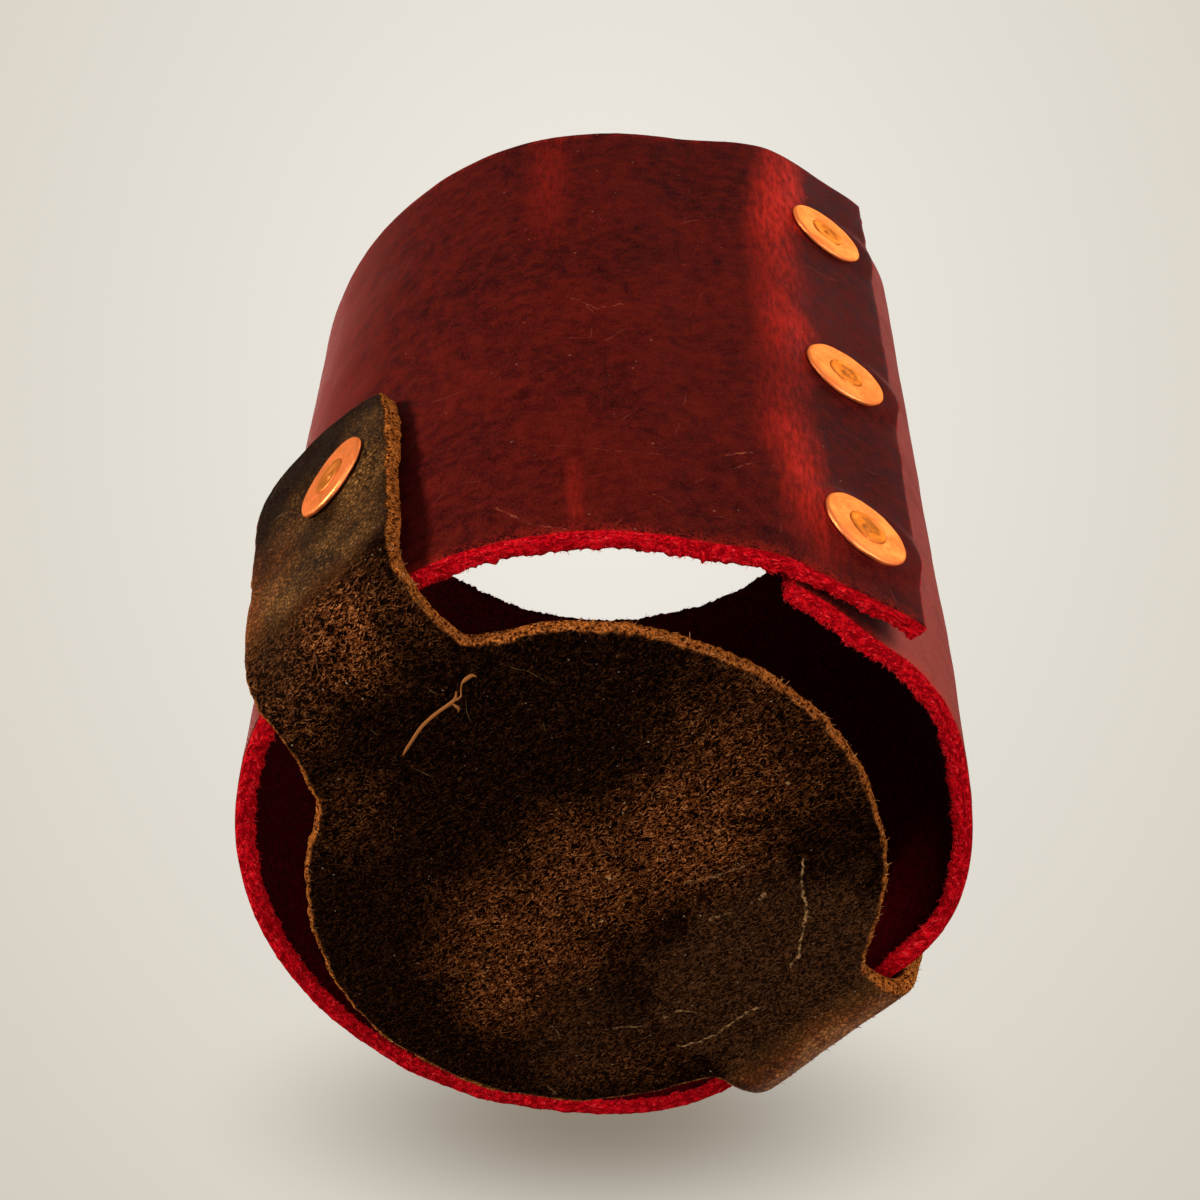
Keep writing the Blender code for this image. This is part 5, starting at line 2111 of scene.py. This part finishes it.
def main() -> None:
    """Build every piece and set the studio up."""
    logging.basicConfig(level=logging.INFO, format="%(name)s: %(message)s")
    shop = Shop(Effects(), Trees())
    sleeve = Sleeve()
    strap = BaseStrap(sleeve)

    fittings = [
        Fitting.from_frame("low", sleeve.lap_azimuth, True, 1, 5.0, 0.45),
        Fitting.from_frame("mid", sleeve.lap_azimuth, True, 2, 8.0, 0.3),
        Fitting.from_frame("high", sleeve.lap_azimuth, True, 3, 4.5, 0.1),
        Fitting.from_frame("left", math.pi, False, 4, 6.0, 0.3),
        Fitting.from_frame("right", 0.0, False, 5, 0.0, 0.1),
    ]

    def on_strip(azimuth: float, height: float) -> tuple[float, float]:
        """Place on the flat strip, in millimetres, of an azimuth in degrees and a height."""
        turn = math.radians(azimuth) + (math.tau if azimuth < -100.0 else 0.0)
        return sleeve.along(turn) / MM, height - sleeve.bottom / MM

    def fold(width: float, *points: tuple[float, float, float]) -> PullUp:
        """A fold of the sleeve through points given as height above the base, azimuth and strength."""
        route = [on_strip(azimuth, height)[::-1] for height, azimuth, _ in points]
        return PullUp(tuple(route), tuple(strength for _, _, strength in points), width)

    red = RedLeather(
        strip_height=sleeve.height / MM,
        pull_ups=(
            fold(2.9, (5.0, -103.6, 0.1), (11.0, -104.0, 0.35), (18.0, -104.8, 0.75), (24.0, -106.0, 0.8),
                 (34.0, -107.2, 0.35), (42.0, -107.0, 0.3), (50.0, -105.8, 0.75), (60.0, -106.2, 0.5),
                 (70.0, -106.7, 0.55), (80.0, -105.2, 1.1), (88.0, -104.2, 1.0), (97.1, -103.4, 0.35)),
            fold(2.4, (64.0, -146.5, 0.0), (72.0, -146.5, 0.1), (84.0, -146.5, 0.19), (93.0, -146.5, 0.17),
                 (97.1, -146.5, 0.1)),
            fold(0.8, (5.0, -139.4, 0.2), (10.0, -139.7, 0.28), (16.0, -140.2, 0.16), (20.0, -140.5, 0.0),
                 (97.1, -141.0, 0.0)),
            fold(3.4, (5.0, 45.0, 0.4), (18.0, 43.0, 0.7), (34.0, 39.5, 0.35), (52.0, 41.0, 0.1),
                 (68.0, 38.0, 0.45), (84.0, 39.0, 0.7), (97.1, 37.0, 0.4)),
            fold(2.4, (5.0, 118.0, 0.5), (26.0, 121.0, 0.25), (48.0, 122.0, 0.0), (97.1, 119.0, 0.0)),
            fold(3.0, (5.0, 98.0, 0.0), (60.0, 98.0, 0.0), (78.0, 96.0, 0.4), (97.1, 93.0, 0.5)),
        ),
        scars=(
            Scar((on_strip(-141.5, 52.7), on_strip(-137.0, 49.7), on_strip(-132.7, 50.9)), 0.09, 0.5),
            Scar((on_strip(-118.0, 20.8), on_strip(-113.4, 22.1)), 0.1, 0.5),
            Scar((on_strip(-116.3, 18.5), on_strip(-113.0, 20.3)), 0.09, 0.35),
            Scar((on_strip(-144.0, 21.3), on_strip(-134.4, 19.3), on_strip(-125.0, 19.6)), 0.08, 0.22),
            Scar((on_strip(-152.1, 11.6), on_strip(-146.3, 7.1), on_strip(-140.7, 5.4)), 0.1, 0.4),
            Scar((on_strip(-128.1, 11.8), on_strip(-125.6, 10.8)), 0.1, 0.45),
            Scar((on_strip(60.0, 30.0), on_strip(66.0, 38.0)), 0.1, 0.4),
            Scar((on_strip(95.0, 66.0), on_strip(88.0, 71.0), on_strip(82.0, 72.0)), 0.1, 0.4),
        ),
    ).build(shop.effects)
    brown_finish = BrownLeather(
        scuffs=(
            Scuff(2.0, -9.0, 9.0, 11.0, 0.0, 1.0),
            Scuff(-1.0, 1.0, 9.0, 9.0, 0.0, 0.8),
            Scuff(-0.5, 11.0, 9.0, 10.0, 0.0, 0.8),
            Scuff(3.0, 17.0, 8.0, 6.0, 20.0, 0.75),
            Scuff(-1.0, -19.0, 10.0, 7.0, 0.0, 0.55),
            Scuff(-2.0, -25.0, 14.0, 3.5, 0.0, 0.3),
            Scuff(-22.0, 12.0, 7.0, 5.0, 60.0, 0.2),
            Scuff(-37.0, -1.0, 7.0, 6.5, 20.0, 0.8),
            Scuff(-33.0, 7.0, 6.0, 4.0, 40.0, 0.35),
            Scuff(-34.0, -8.0, 7.0, 2.5, 0.0, 0.25),
            Scuff(-54.0, 6.0, 9.0, 3.4, 5.0, 0.4),
            Scuff(-47.0, 9.4, 13.0, 2.4, 0.0, 0.9),
            Scuff(33.0, 0.0, 5.5, 14.0, 0.0, 1.6),
            Scuff(18.0, 16.0, 8.0, 4.0, -50.0, 0.2),
        ),
        ashes=(
            Scuff(20.5, -4.0, 12.5, 15.0, 0.0, 0.8, 0.3),
            Scuff(13.0, 15.0, 9.0, 8.0, 30.0, 0.5),
            Scuff(-60.0, -6.5, 15.0, 4.5, 0.0, 1.0),
            Scuff(-47.0, -2.0, 8.0, 8.0, 30.0, 0.8),
            Scuff(-45.0, 6.0, 11.0, 7.0, 0.0, 0.9),
            Scuff(-61.0, 2.0, 8.0, 6.0, 0.0, 0.55),
        ),
        scars=SCARS,
    )
    brown = brown_finish.build(shop.effects)
    nap = brown_finish.build(shop.effects, fibres=True)
    red_fibre = Fibre("red_fibre", srgb(150, 6, 14), srgb(224, 44, 46)).build()
    tan_fibre = Fibre("tan_fibre", srgb(84, 40, 12), srgb(168, 104, 48)).build()
    burr_copper = Copper("copper_burr", srgb(240, 138, 78), srgb(224, 114, 56), 0.46).build(shop.effects)
    post_copper = Copper("copper_post", srgb(214, 126, 58), srgb(132, 72, 28), 0.46).build(shop.effects)

    wall = sleeve.build(shop, red, fittings)
    sleeve.grow_edges(shop, wall, red_fibre)
    base = strap.build(shop, brown, fittings)
    strap.grow_nap(shop, base, nap)
    LooseStrand().build(shop, tan_fibre)
    for fitting in fittings:
        fitting.build(shop, burr_copper, post_copper)

    Studio(
        eye=Vector((-111.06, -110.07, -192.10)) * MM,
        right=Vector((0.70077, -0.71336, 0.00544)),
        up=Vector((-0.60083, -0.58608, 0.54361)),
        look=Vector((0.38460, 0.38422, 0.83932)),
    ).build()


if __name__ == "__main__":
    main()
